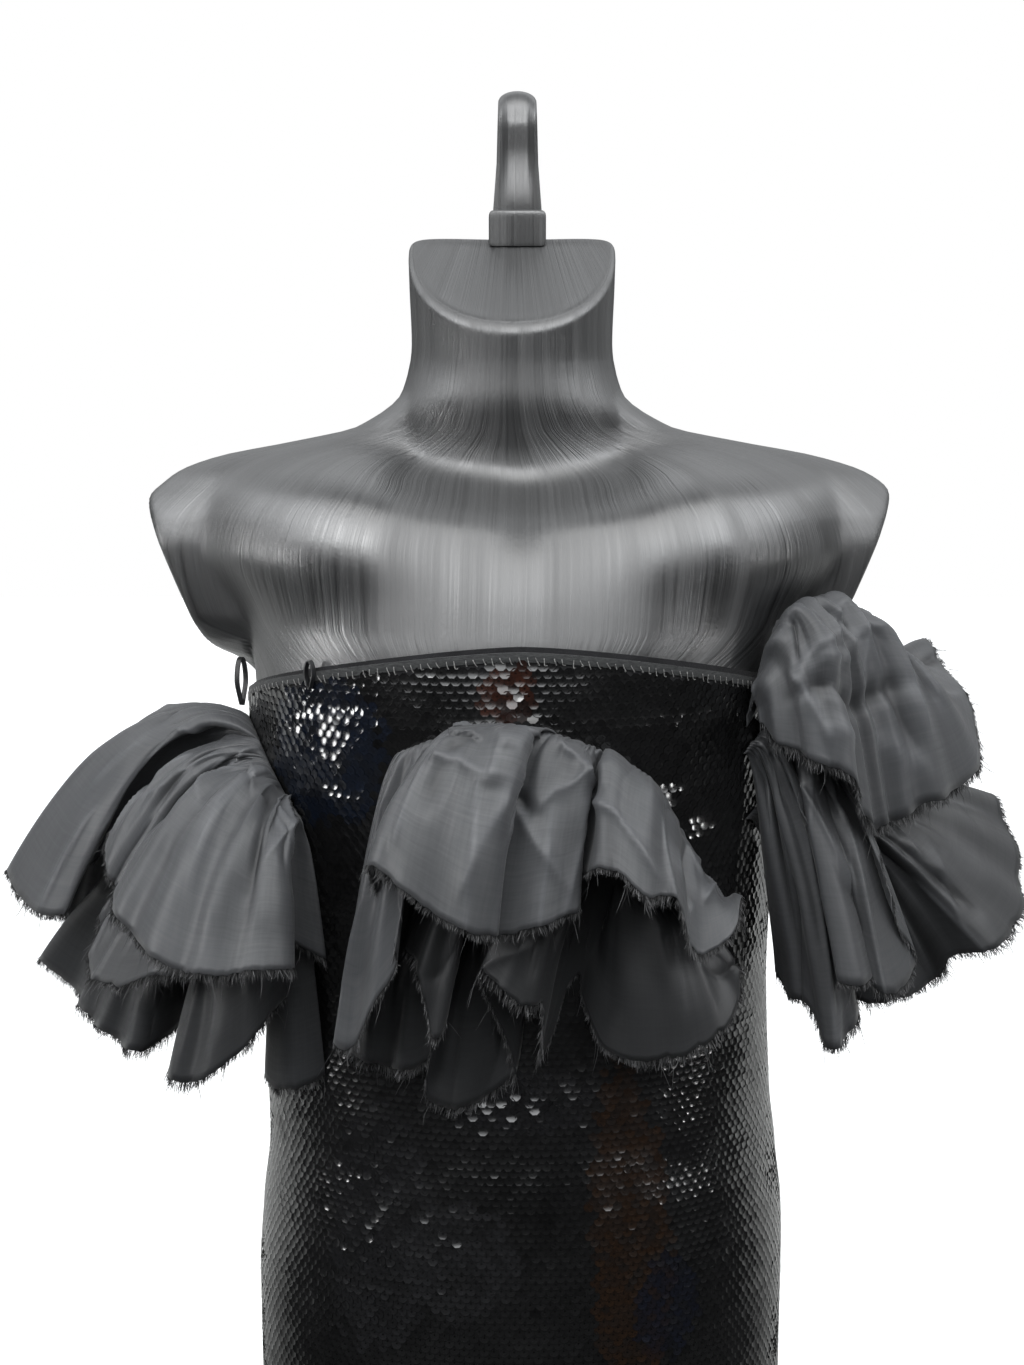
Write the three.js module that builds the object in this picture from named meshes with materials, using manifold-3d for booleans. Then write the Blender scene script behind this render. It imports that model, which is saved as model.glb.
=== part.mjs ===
// Strapless mini dress with three ruffle clusters, on a half-round limbless torso form.
// Millimetres, +Z up, the wearer's front towards -Y, the wearer's right-hand side at -X.
// The origin is the centre of the form's flat base.

import * as THREE from "three";
import { mergeVertices } from "three/addons/utils/BufferGeometryUtils.js";
import Module from "manifold-3d";

const wasm = await Module();
wasm.setup();

// ---------------------------------------------------------------- driving dimensions

const SEAM_GAP = 0.3; // between pieces that touch
const TAPE_WALL = 1.0;
const CLOTH_WALL = 1.5;
const RUFFLE_WALL = 1.2;
const TAPE_IN = 1.1; // tape's inner face, out from the form
const CLOTH_IN = TAPE_IN + TAPE_WALL + 2 * SEAM_GAP; // panels' inner face, out from the form
const CLOTH_OUT = CLOTH_IN + CLOTH_WALL;
const RUFFLE_OUT = CLOTH_OUT + SEAM_GAP + RUFFLE_WALL / 2; // ruffles' middle, where sewn on
const RUFFLE_EASE = 2; // more than that off the panels, away from where they are sewn

const HEM_HEIGHT = 25;
const TOP_CENTRE = 645; // top edge at the centre front
const TOP_SIDE_FALL = 39; // the top edge is this much lower at the sides
const SIDE_SHARE = 0.27; // share of the girth from the centre front to the widest point
const TAPE_HEIGHT = 9; // below the top edge
const TAPE_RISE = { left: 1, right: 4 }; // above it, at either end of the front

const COLUMNS = 48; // facets round the body
const SEAM_COLUMN = 13; // column of the left side seam, counted from the centre back
const PANEL_ROWS = 14; // facets up the panels, the last as tall as the tape

const NECK_CUT = { front: [-40, 811], back: [35, 859] }; // [y, z] on the slanted neck cap
const ARM_CUT = { low: [169, 634], tip: [203, 716] }; // [x, z] on the arm stubs' end faces

// The form by height. width, front and back reach from its axis to the surface; arm is the
// half width over the arm stubs and armDepth their half thickness; shift leans it sideways.
const BODY = [
  { height: 0, width: 147, front: 110, back: 40, arm: 147, armDepth: 0, shift: 4 },
  { height: 180, width: 148, front: 111, back: 40, arm: 148, armDepth: 0, shift: 4 },
  { height: 270, width: 148, front: 113, back: 40, arm: 148, armDepth: 0, shift: 4 },
  { height: 312, width: 146, front: 112, back: 40, arm: 146, armDepth: 0, shift: 5 },
  { height: 345, width: 142, front: 110, back: 40, arm: 142, armDepth: 0, shift: 5 },
  { height: 380, width: 140, front: 106, back: 40, arm: 140, armDepth: 0, shift: 3 },
  { height: 447, width: 139, front: 102, back: 40, arm: 139, armDepth: 0, shift: 1 },
  { height: 520, width: 142, front: 111, back: 40, arm: 142, armDepth: 0, shift: 0 },
  { height: 580, width: 143, front: 121, back: 40, arm: 143, armDepth: 0, shift: 0 },
  { height: 606, width: 143, front: 121, back: 40, arm: 143, armDepth: 0, shift: 0 },
  { height: 614, width: 143.5, front: 120, back: 40, arm: 143.5, armDepth: 4, shift: 0 },
  { height: 625, width: 145, front: 119, back: 40, arm: 153, armDepth: 22, shift: 1 },
  { height: 634, width: 146, front: 118, back: 40, arm: 174, armDepth: 34, shift: 2 },
  { height: 642, width: 146, front: 117, back: 40, arm: 200, armDepth: 42, shift: 3 },
  { height: 654, width: 147, front: 114, back: 40, arm: 222, armDepth: 48, shift: 4 },
  { height: 690, width: 148, front: 101, back: 40, arm: 226, armDepth: 52, shift: 5 },
  { height: 704, width: 148, front: 92, back: 40, arm: 219, armDepth: 50, shift: 5 },
  { height: 714, width: 146.5, front: 77, back: 40, arm: 210, armDepth: 47, shift: 5 },
  { height: 722, width: 144, front: 54, back: 40, arm: 200, armDepth: 44, shift: 5 },
  { height: 730, width: 140, front: 36, back: 40, arm: 188, armDepth: 40, shift: 4 },
  { height: 738, width: 132, front: 28, back: 40, arm: 164, armDepth: 32, shift: 2 },
  { height: 746, width: 116, front: 26, back: 40, arm: 122, armDepth: 18, shift: 1 },
  { height: 754, width: 86, front: 28, back: 40, arm: 86, armDepth: 0, shift: 0 },
  { height: 773, width: 61, front: 34, back: 38, arm: 61, armDepth: 0, shift: -1 },
  { height: 800, width: 56, front: 34, back: 36, arm: 56, armDepth: 0, shift: -1 },
  { height: 830, width: 57, front: 34, back: 36, arm: 57, armDepth: 0, shift: -1 },
  { height: 880, width: 58, front: 34, back: 36, arm: 58, armDepth: 0, shift: -1 },
];
const FRONT_POWER = 2.2; // roundness of the front, 2 is an ellipse
const NECK_HALF = 57.5; // the neck's half width where it meets the chest
const NECK_FOOT = 42.5; // its front's reach from the form's axis there
const NECK_FRONT = 46; // and further up
const NECK_POWER = 2.2;
const NECK_BACK_POWER = 6;
const NECK_WIDEST = 24; // its widest place is this far behind the body's
const BACK_POWER = 5; // the back is flat with round corners
const ARM_POWER = 3;

// Ruffle tiers. seam holds three control points [x, y, z] of the line that is sewn down. In
// hem, a row for each fold's crest or valley: at is its share of the seam, side, front and
// drop are how far it lies from centre, and lift is how high it springs before it falls.
const TIERS = {
  left_flounce_upper: {
    centre: [-133, -50, 606],
    seam: [[-145, -12, 590], [-160, -54, 612], [-116, -86, 556]],
    reach: 0.45,
    hem: [
      { at: 0.0, side: -30, front: -112, drop: 150, lift: 14 },
      { at: 0.07, side: -60, front: -136, drop: 164, lift: 16 },
      { at: 0.14, side: -92, front: -118, drop: 168, lift: 18 },
      { at: 0.21, side: -120, front: -130, drop: 166, lift: 22 },
      { at: 0.28, side: -136, front: -102, drop: 148, lift: 28 },
      { at: 0.35, side: -151, front: -84, drop: 126, lift: 34 },
      { at: 0.42, side: -157, front: -56, drop: 106, lift: 38 },
      { at: 0.48, side: -142, front: -32, drop: 119, lift: 40 },
      { at: 0.53, side: -116, front: -12, drop: 119, lift: 40 },
      { at: 0.57, side: -114, front: -34, drop: 104, lift: 36 },
      { at: 0.6, side: -98, front: -42, drop: 90, lift: 30 },
      { at: 0.63, side: -66, front: -38, drop: 68, lift: 16 },
      { at: 0.66, side: -86, front: -4, drop: 71, lift: 18 },
      { at: 0.7, side: -85, front: 10, drop: 84, lift: 22 },
      { at: 0.735, side: -79, front: 16, drop: 95, lift: 18 },
      { at: 0.755, side: -64, front: 8, drop: 85, lift: 10 },
      { at: 0.78, side: -78, front: 34, drop: 96, lift: 18 },
      { at: 0.82, side: -66, front: 54, drop: 107, lift: 22 },
      { at: 0.86, side: -38, front: 84, drop: 118, lift: 26 },
      { at: 0.9, side: -14, front: 95, drop: 118, lift: 26 },
      { at: 0.94, side: 8, front: 97, drop: 115, lift: 20 },
      { at: 0.965, side: 22, front: 84, drop: 118, lift: 12 },
      { at: 0.98, side: 8, front: 54, drop: 112, lift: 6 },
      { at: 1.0, side: 34, front: 42, drop: 126, lift: 4 },
    ],
  },
  left_flounce_middle: {
    centre: [-131, -55, 577],
    seam: [[-149, -36, 566], [-151, -56, 574], [-130, -76, 554]],
    reach: 0.42,
    hem: [
      { at: 0.0, side: -68, front: -28, drop: 60, lift: 0 },
      { at: 0.14, side: -84, front: -24, drop: 70, lift: -2 },
      { at: 0.28, side: -97, front: -20, drop: 88, lift: -2 },
      { at: 0.42, side: -103, front: -12, drop: 108, lift: -2 },
      { at: 0.54, side: -100, front: 2, drop: 119, lift: -2 },
      { at: 0.66, side: -83, front: 22, drop: 117, lift: -4 },
      { at: 0.78, side: -60, front: 40, drop: 107, lift: -6 },
      { at: 0.9, side: -34, front: 50, drop: 103, lift: -4 },
      { at: 1.0, side: -12, front: 50, drop: 100, lift: -4 },
    ],
  },
  left_flounce_lower: {
    centre: [-131, -55, 577],
    seam: [[-144, -20, 544], [-149, -50, 556], [-122, -80, 542]],
    reach: 0.42,
    hem: [
      { at: 0.0, side: -30, front: -118, drop: 170, lift: 0 },
      { at: 0.08, side: -62, front: -112, drop: 176, lift: 0 },
      { at: 0.17, side: -92, front: -122, drop: 164, lift: 2 },
      { at: 0.26, side: -128, front: -112, drop: 140, lift: 4 },
      { at: 0.34, side: -152, front: -90, drop: 138, lift: 6 },
      { at: 0.42, side: -128, front: -74, drop: 152, lift: 8 },
      { at: 0.49, side: -117, front: -50, drop: 155, lift: 6 },
      { at: 0.56, side: -101, front: -28, drop: 162, lift: 4 },
      { at: 0.63, side: -74, front: -12, drop: 167, lift: 2 },
      { at: 0.68, side: -48, front: -38, drop: 150, lift: 0 },
      { at: 0.72, side: -54, front: 22, drop: 170, lift: 0 },
      { at: 0.77, side: -40, front: 32, drop: 168, lift: 2 },
      { at: 0.83, side: -14, front: 42, drop: 148, lift: 2 },
      { at: 0.88, side: 3, front: 36, drop: 128, lift: 0 },
      { at: 0.91, side: 16, front: 10, drop: 120, lift: 0 },
      { at: 0.94, side: -2, front: 14, drop: 172, lift: 0 },
      { at: 0.97, side: 14, front: 28, drop: 172, lift: 0 },
      { at: 1.0, side: 30, front: 26, drop: 166, lift: 0 },
    ],
  },
  centre_flounce_upper: {
    centre: [-2, -140, 610],
    seam: [[-56, -122, 594], [60, -138, 638], [112, -104, 512]],
    reach: 0.45,
    hem: [
      { at: 0.0, side: -90, front: -26, drop: 160, lift: 4 },
      { at: 0.03, side: -84, front: -12, drop: 168, lift: 6 },
      { at: 0.07, side: -70, front: -2, drop: 142, lift: 10 },
      { at: 0.11, side: -56, front: 2, drop: 112, lift: 16 },
      { at: 0.15, side: -66, front: -10, drop: 84, lift: 20 },
      { at: 0.19, side: -66, front: 12, drop: 65, lift: 26 },
      { at: 0.23, side: -44, front: 28, drop: 78, lift: 30 },
      { at: 0.28, side: -22, front: 36, drop: 90, lift: 30 },
      { at: 0.32, side: -8, front: 28, drop: 95, lift: 22 },
      { at: 0.345, side: -22, front: 4, drop: 92, lift: 10 },
      { at: 0.37, side: -6, front: 18, drop: 98, lift: 12 },
      { at: 0.42, side: 14, front: 22, drop: 92, lift: 12 },
      { at: 0.47, side: 32, front: 14, drop: 86, lift: 10 },
      { at: 0.515, side: 31, front: -8, drop: 82, lift: 6 },
      { at: 0.56, side: 40, front: 12, drop: 68, lift: 12 },
      { at: 0.61, side: 50, front: 26, drop: 63, lift: 18 },
      { at: 0.67, side: 66, front: 26, drop: 76, lift: 18 },
      { at: 0.73, side: 80, front: 18, drop: 78, lift: 16 },
      { at: 0.79, side: 88, front: 8, drop: 102, lift: 12 },
      { at: 0.85, side: 94, front: 0, drop: 114, lift: 10 },
      { at: 0.92, side: 110, front: -10, drop: 106, lift: 6 },
      { at: 1.0, side: 119, front: -26, drop: 92, lift: 2 },
    ],
  },
  centre_flounce_lower: {
    centre: [-2, -135, 580],
    seam: [[-48, -124, 546], [30, -130, 562], [92, -112, 506]],
    reach: 0.42,
    hem: [
      { at: 0.0, side: -86, front: -34, drop: 148, lift: 0 },
      { at: 0.07, side: -66, front: -24, drop: 152, lift: 0 },
      { at: 0.13, side: -44, front: -18, drop: 148, lift: 0 },
      { at: 0.17, side: -52, front: -32, drop: 96, lift: 0 },
      { at: 0.22, side: -47, front: -2, drop: 92, lift: 2 },
      { at: 0.26, side: -37, front: 4, drop: 127, lift: 4 },
      { at: 0.3, side: -30, front: -12, drop: 92, lift: 2 },
      { at: 0.36, side: -42, front: -30, drop: 174, lift: 0 },
      { at: 0.43, side: -20, front: -22, drop: 173, lift: 0 },
      { at: 0.5, side: 0, front: -30, drop: 160, lift: 0 },
      { at: 0.54, side: -16, front: 0, drop: 92, lift: 2 },
      { at: 0.59, side: 5, front: 8, drop: 108, lift: 2 },
      { at: 0.63, side: 18, front: -2, drop: 112, lift: 0 },
      { at: 0.67, side: 16, front: -26, drop: 148, lift: 0 },
      { at: 0.71, side: 32, front: -34, drop: 104, lift: 0 },
      { at: 0.76, side: 48, front: -16, drop: 140, lift: 2 },
      { at: 0.82, side: 78, front: -6, drop: 142, lift: 2 },
      { at: 0.88, side: 98, front: -6, drop: 134, lift: 2 },
      { at: 0.94, side: 112, front: -16, drop: 122, lift: 0 },
      { at: 1.0, side: 119, front: -34, drop: 104, lift: 0 },
    ],
  },
  right_flounce_upper: {
    centre: [144, -50, 606],
    seam: [[146, -14, 596], [164, -60, 626], [128, -84, 600]],
    reach: 0.46,
    hem: [
      { at: 0.0, side: 34, front: -112, drop: 70, lift: 4 },
      { at: 0.08, side: 66, front: -124, drop: 56, lift: 8 },
      { at: 0.16, side: 84, front: -104, drop: 6, lift: 12 },
      { at: 0.24, side: 95, front: -86, drop: -22, lift: 14 },
      { at: 0.32, side: 108, front: -68, drop: -4, lift: 20 },
      { at: 0.4, side: 119, front: -50, drop: 17, lift: 44 },
      { at: 0.48, side: 108, front: -20, drop: 42, lift: 96 },
      { at: 0.56, side: 82, front: 4, drop: 50, lift: 128 },
      { at: 0.63, side: 58, front: 20, drop: 58, lift: 138 },
      { at: 0.68, side: 46, front: 30, drop: 60, lift: 138 },
      { at: 0.74, side: 37, front: 44, drop: 46, lift: 132 },
      { at: 0.8, side: 22, front: 60, drop: 22, lift: 124 },
      { at: 0.86, side: 6, front: 60, drop: 17, lift: 106 },
      { at: 0.93, side: -6, front: 50, drop: 11, lift: 72 },
      { at: 1.0, side: -17, front: 38, drop: 2, lift: 26 },
    ],
  },
  right_flounce_middle: {
    centre: [146, -50, 575],
    seam: [[152, -44, 584], [156, -62, 604], [125, -84, 586]],
    reach: 0.34,
    hem: [
      { at: 0.0, side: 30, front: 16, drop: 28, lift: 20 },
      { at: 0.1, side: 42, front: 30, drop: 36, lift: 22 },
      { at: 0.2, side: 52, front: 36, drop: 58, lift: 26 },
      { at: 0.29, side: 60, front: 32, drop: 84, lift: 28 },
      { at: 0.37, side: 68, front: 28, drop: 102, lift: 28 },
      { at: 0.45, side: 52, front: 48, drop: 114, lift: 28 },
      { at: 0.52, side: 40, front: 46, drop: 108, lift: 26 },
      { at: 0.565, side: 50, front: 18, drop: 104, lift: 14 },
      { at: 0.61, side: 36, front: 60, drop: 104, lift: 26 },
      { at: 0.69, side: 19, front: 60, drop: 102, lift: 26 },
      { at: 0.735, side: 38, front: 26, drop: 112, lift: 12 },
      { at: 0.78, side: 32, front: 42, drop: 134, lift: 20 },
      { at: 0.84, side: 20, front: 48, drop: 143, lift: 20 },
      { at: 0.9, side: 8, front: 38, drop: 122, lift: 18 },
      { at: 0.95, side: 0, front: 30, drop: 120, lift: 14 },
      { at: 1.0, side: -7, front: 18, drop: 112, lift: 8 },
    ],
  },
  right_flounce_lower: {
    centre: [146, -50, 575],
    seam: [[149, -20, 556], [156, -50, 568], [130, -80, 550]],
    reach: 0.4,
    hem: [
      { at: 0.0, side: 46, front: -112, drop: 140, lift: 0 },
      { at: 0.1, side: 90, front: -126, drop: 110, lift: 4 },
      { at: 0.2, side: 114, front: -108, drop: 60, lift: 8 },
      { at: 0.3, side: 134, front: -90, drop: 36, lift: 12 },
      { at: 0.4, side: 145, front: -76, drop: 56, lift: 12 },
      { at: 0.49, side: 146, front: -54, drop: 80, lift: 10 },
      { at: 0.56, side: 138, front: -28, drop: 96, lift: 8 },
      { at: 0.63, side: 116, front: -6, drop: 106, lift: 6 },
      { at: 0.69, side: 98, front: -10, drop: 112, lift: 4 },
      { at: 0.74, side: 92, front: -20, drop: 128, lift: 4 },
      { at: 0.8, side: 70, front: -12, drop: 136, lift: 2 },
      { at: 0.87, side: 50, front: -12, drop: 138, lift: 2 },
      { at: 0.94, side: 26, front: -14, drop: 118, lift: 0 },
      { at: 1.0, side: 6, front: -10, drop: 104, lift: 0 },
    ],
  },
};
const TIER_ROWS = [0, 0.18, 0.42, 0.7, 1]; // down each fold, seam to hem

// Ribbon hanger loops on the left: share of the girth from the centre back, height of the
// middle, outer size, turn away from the panel in radians, and gap to the panel.
const RIBBON = { width: 3, thickness: 0.9 };
const LOOPS = {
  hanger_loop_outer: { share: 0.25, height: 615, wide: 9, tall: 27, turn: 0.6, gap: 0.1 },
  hanger_loop_inner: { share: 0.362, height: 630, wide: 6, tall: 15, turn: 0, gap: 0.5 },
};

// The hook: a channel strip on a block that stands on the neck cap's back edge.
const HOOK = {
  width: 26,
  web: 3,
  flange: 7,
  rim: 2.5, // thickness of the flanges
  block: [32, 14, 16],
  y: 29, // the strip's front face
  foot: 866,
  radius: 22,
  top: 940,
  tip: 20, // how far the free end comes down past the arch
};

// ---------------------------------------------------------------- materials

function material(name, color, roughness, metalness = 0) {
  return new THREE.MeshStandardMaterial({ name, color, roughness, metalness });
}

const sequins = material("black sequins", 0x0b0b0d, 0.3, 0.2);
const taffeta = material("charcoal taffeta", 0x2b2b2d, 0.6);
const velvet = material("black velvet elastic", 0x0a0a0a, 0.9);
const ribbon = material("black ribbon", 0x101010, 0.6);
const plastic = material("streaked grey plastic", 0x33363a, 0.25);

// ---------------------------------------------------------------- shapes of the body

// Reads one column of the body table at a height, along a curve that never overshoots.
function bodyAt(column, height) {
  const last = BODY.length - 1;
  const slope = (i) => {
    return (BODY[i + 1][column] - BODY[i][column]) / (BODY[i + 1].height - BODY[i].height);
  };
  const tangent = (i) => {
    if (i === 0 || i === last) return 0;
    const before = slope(i - 1);
    const after = slope(i);
    return before * after <= 0 ? 0 : (2 * before * after) / (before + after);
  };
  if (height <= BODY[0].height) return BODY[0][column];
  if (height >= BODY[last].height) return BODY[last][column];
  const i = BODY.findLastIndex((row) => row.height <= height);
  const span = BODY[i + 1].height - BODY[i].height;
  const t = (height - BODY[i].height) / span;
  const rise = 3 * t ** 2 - 2 * t ** 3;
  const leave = span * tangent(i) * (t ** 3 - 2 * t ** 2 + t);
  const arrive = span * tangent(i + 1) * (t ** 3 - t ** 2);
  return BODY[i][column] * (1 - rise) + BODY[i + 1][column] * rise + leave + arrive;
}

// A super-ellipse: its height over x, with half width w and depth d.
function arch(x, w, d, power) {
  return d * Math.max(0, 1 - (Math.abs(x) / w) ** power) ** (1 / power);
}

// How much higher the collar bones' line runs than the chest's edge: it climbs to the
// shoulders and dips below the throat.
function collarRise(x) {
  const dip = 4 * Math.exp(-((x / 22) ** 2));
  return 14 * THREE.MathUtils.smoothstep(Math.abs(x), 25, 105) - dip;
}

// The body's outline at one height, out from the form by offset. It runs once round from
// the centre back by the left side. With arms it is the bare form, with its stubs and neck.
class BodyOutline extends THREE.Curve {
  constructor(height, offset, arms = false) {
    super();
    const { smoothstep } = THREE.MathUtils;
    this.height = height;
    this.offset = offset;
    this.shift = bodyAt("shift", height);
    this.width = bodyAt("width", height) + offset;
    this.back = bodyAt("back", height) + offset;
    this.collar = arms ? smoothstep(height, 664, 700) * (1 - smoothstep(height, 736, 762)) : 0;
    this.spread = arms ? smoothstep(height, 648, 690) * (1 - smoothstep(height, 722, 750)) : 0;
    this.neck = arms ? smoothstep(height, 690, 714) : 0;
    this.above = smoothstep(height, 752, 792);
    this.armDepth = arms ? bodyAt("armDepth", height) : 0;
    this.arm = arms ? Math.max(bodyAt("arm", height), this.width) : this.width;
    this.arcLengthDivisions = 400;
  }

  // How far the front lies before the form's axis.
  frontAt(x) {
    const level = this.height - this.collar * collarRise(x);
    const chest = arch(
      x,
      this.width + 24 * this.spread,
      bodyAt("front", level) + this.offset,
      FRONT_POWER,
    );
    const from = THREE.MathUtils.smoothstep(Math.abs(x), 20, 120);
    const stub = arch(x, this.arm, this.armDepth, ARM_POWER) * from;
    const neck = arch(x, NECK_HALF, NECK_FOOT, NECK_POWER) * this.neck;
    const body = ((chest ** 4 + stub ** 4) ** 0.75 + neck ** 3) ** (1 / 3);
    const edge = arch(x, this.width, NECK_FRONT + NECK_WIDEST, NECK_POWER) - NECK_WIDEST;
    return THREE.MathUtils.lerp(body, edge, this.above);
  }

  // How far the back lies behind it.
  backAt(x) {
    const body = arch(x, this.arm, this.back, BACK_POWER);
    const neck = arch(x, this.arm, this.back - NECK_WIDEST, NECK_BACK_POWER) + NECK_WIDEST;
    return THREE.MathUtils.lerp(body, neck, this.above);
  }

  getPoint(t, target = new THREE.Vector3()) {
    const angle = 2 * Math.PI * t;
    const x = -this.arm * Math.sin(angle);
    const y = Math.cos(angle) < 0 ? -this.frontAt(x) : this.backAt(x);
    return target.set(x + this.shift, y, this.height);
  }
}

// Height of the dress's top edge at a share of the girth counted from the centre back.
function topEdge(share) {
  const fromFront = Math.min(Math.abs(share - 0.5), SIDE_SHARE) / SIDE_SHARE;
  return TOP_CENTRE - TOP_SIDE_FALL * fromFront ** 1.55;
}

// Moves a point straight out of the body's axis to the given offset from the form: always
// when seated, else only when it is nearer than that.
function clearOfBody(point, offset, seated = false) {
  const height = Math.min(point.z, 620);
  const shift = bodyAt("shift", height);
  const power = point.y < 0 ? FRONT_POWER : BACK_POWER;
  const depth = bodyAt(point.y < 0 ? "front" : "back", height) + offset;
  const across = Math.abs(point.x - shift) / (bodyAt("width", height) + offset);
  const scale = (across ** power + (Math.abs(point.y) / depth) ** power) ** (1 / power);
  if (!seated && scale >= 1) return point;
  return point.set(shift + (point.x - shift) / scale, point.y / scale, point.z);
}

// ---------------------------------------------------------------- closed meshes

// A geometry from points and triangles, turned so that its faces point out.
function closedGeometry(points, triangles) {
  let volume = 0;
  for (const [a, b, c] of triangles) {
    volume += points[a].dot(points[b].clone().cross(points[c]));
  }
  const faces = volume < 0 ? triangles.map(([a, b, c]) => [a, c, b]) : triangles;
  const geometry = new THREE.BufferGeometry();
  const numbers = points.flatMap((p) => p.toArray());
  geometry.setAttribute("position", new THREE.Float32BufferAttribute(numbers, 3));
  geometry.setIndex(faces.flat());
  geometry.computeVertexNormals();
  return geometry;
}

// A solid through closed rings of equal counts, with a fan over each end.
function loftGeometry(rings) {
  const count = rings[0].length;
  const points = rings.flat();
  const triangles = [];
  for (let r = 0; r + 1 < rings.length; r++) {
    for (let c = 0; c < count; c++) {
      const a = r * count + c;
      const b = r * count + ((c + 1) % count);
      triangles.push([a, b, b + count], [a, b + count, a + count]);
    }
  }
  for (const [r, turn] of [[0, true], [rings.length - 1, false]]) {
    const middle = new THREE.Vector3();
    rings[r].forEach((p) => middle.addScaledVector(p, 1 / count));
    const centre = points.push(middle) - 1;
    for (let c = 0; c < count; c++) {
      const a = r * count + c;
      const b = r * count + ((c + 1) % count);
      triangles.push(turn ? [centre, b, a] : [centre, a, b]);
    }
  }
  return closedGeometry(points, triangles);
}

// A wall between two grids of points, grid[row][column], closed along its four edges.
function wallGeometry(outer, inner) {
  const rows = outer.length;
  const columns = outer[0].length;
  const points = [...outer.flat(), ...inner.flat()];
  const out = (r, c) => r * columns + c;
  const back = (r, c) => rows * columns + out(r, c);
  const triangles = [];
  const quad = (a, b, c, d) => triangles.push([a, b, c], [a, c, d]);
  for (let r = 0; r + 1 < rows; r++) {
    for (let c = 0; c + 1 < columns; c++) {
      quad(out(r, c), out(r, c + 1), out(r + 1, c + 1), out(r + 1, c));
      quad(back(r, c), back(r + 1, c), back(r + 1, c + 1), back(r, c + 1));
    }
    quad(out(r, 0), out(r + 1, 0), back(r + 1, 0), back(r, 0));
    quad(out(r + 1, columns - 1), out(r, columns - 1), back(r, columns - 1), back(r + 1, columns - 1));
  }
  for (let c = 0; c + 1 < columns; c++) {
    quad(out(0, c + 1), out(0, c), back(0, c), back(0, c + 1));
    quad(out(rows - 1, c), out(rows - 1, c + 1), back(rows - 1, c + 1), back(rows - 1, c));
  }
  return closedGeometry(points, triangles);
}

function toSolid(geometry) {
  const bare = geometry.clone();
  bare.deleteAttribute("normal");
  bare.deleteAttribute("uv");
  const merged = mergeVertices(bare, 1e-3);
  return new wasm.Manifold(
    new wasm.Mesh({
      numProp: 3,
      vertProperties: new Float32Array(merged.attributes.position.array),
      triVerts: new Uint32Array(merged.index.array),
    }),
  );
}

function toGeometry(solid) {
  const mesh = solid.getMesh();
  const geometry = new THREE.BufferGeometry();
  geometry.setAttribute("position", new THREE.Float32BufferAttribute(mesh.vertProperties, 3));
  geometry.setIndex(new THREE.Uint32BufferAttribute(mesh.triVerts, 1));
  geometry.computeVertexNormals();
  return geometry;
}

// A large block whose lower face lies through point and faces away from normal.
function cuttingBlock(point, normal) {
  const size = 600;
  const block = new THREE.BoxGeometry(size, size, size);
  block.translate(0, 0, size / 2);
  const up = new THREE.Vector3(0, 0, 1);
  const turn = new THREE.Quaternion().setFromUnitVectors(up, normal.normalize());
  block.applyQuaternion(turn);
  block.translate(...point.toArray());
  return toSolid(block);
}

function neckCutter(raise) {
  const [y0, z0] = NECK_CUT.front;
  const [y1, z1] = NECK_CUT.back;
  const normal = new THREE.Vector3(0, z0 - z1, y1 - y0).normalize();
  return cuttingBlock(new THREE.Vector3(0, y0, z0).addScaledVector(normal, raise), normal);
}

// ---------------------------------------------------------------- the form

function formTorso() {
  const heights = [0, 90, 180, 250, 310, 345, 380, 415, 447, 485, 520, 550, 580, 600, 614, 625];
  heights.push(634, 642, 654, 672, 690, 704, 714, 722, 730, 738, 746, 754, 763, 773, 800, 830, 880);
  const rings = heights.map((z) => {
    return new BodyOutline(z, 0, true).getSpacedPoints(COLUMNS).slice(0, COLUMNS);
  });
  let solid = toSolid(loftGeometry(rings)).subtract(neckCutter(0));
  for (const side of [-1, 1]) {
    const [x0, z0] = ARM_CUT.low;
    const [x1, z1] = ARM_CUT.tip;
    const low = new THREE.Vector3(side * x0 + bodyAt("shift", z0), 0, z0);
    solid = solid.subtract(cuttingBlock(low, new THREE.Vector3(side * (z1 - z0), 0, x0 - x1)));
  }
  return toGeometry(solid);
}

// The hook's strip seen from the side, of the given thickness in from its outer face.
function hookBand(thickness) {
  const { y, foot, radius, top, tip } = HOOK;
  const shape = new THREE.Shape();
  const turn = top - radius;
  shape.moveTo(y, foot);
  shape.lineTo(y, turn);
  shape.absarc(y + radius, turn, radius, Math.PI, 0, true);
  shape.lineTo(y + 2 * radius + 2, turn - tip);
  shape.lineTo(y + 2 * radius + 2 - thickness, turn - tip);
  shape.lineTo(y + 2 * radius - thickness, turn);
  shape.absarc(y + radius, turn, radius - thickness, 0, Math.PI, false);
  shape.lineTo(y + thickness, foot);
  return shape;
}

// Extrudes a shape drawn in the (y, z) plane along x, from one x to another.
function extrudeAlongX(shape, from, to) {
  const options = { depth: to - from, bevelEnabled: false, curveSegments: 14 };
  const geometry = new THREE.ExtrudeGeometry(shape, options);
  geometry.applyMatrix4(new THREE.Matrix4().set(0, 0, 1, from, 1, 0, 0, 0, 0, 1, 0, 0, 0, 0, 0, 1));
  return toSolid(geometry);
}

function formHook() {
  const { width, web, flange, rim, block, y, foot } = HOOK;
  const middle = bodyAt("shift", foot) + 2;
  const left = middle - width / 2;
  const right = middle + width / 2;
  const base = new THREE.BoxGeometry(...block);
  base.translate(middle, y + block[1] / 2 - 4, foot - 1);
  return toGeometry(
    extrudeAlongX(hookBand(web), left, right)
      .add(extrudeAlongX(hookBand(flange), left, left + rim))
      .add(extrudeAlongX(hookBand(flange), right - rim, right))
      .add(toSolid(base))
      .intersect(neckCutter(SEAM_GAP)),
  );
}

// ---------------------------------------------------------------- the dress

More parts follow.
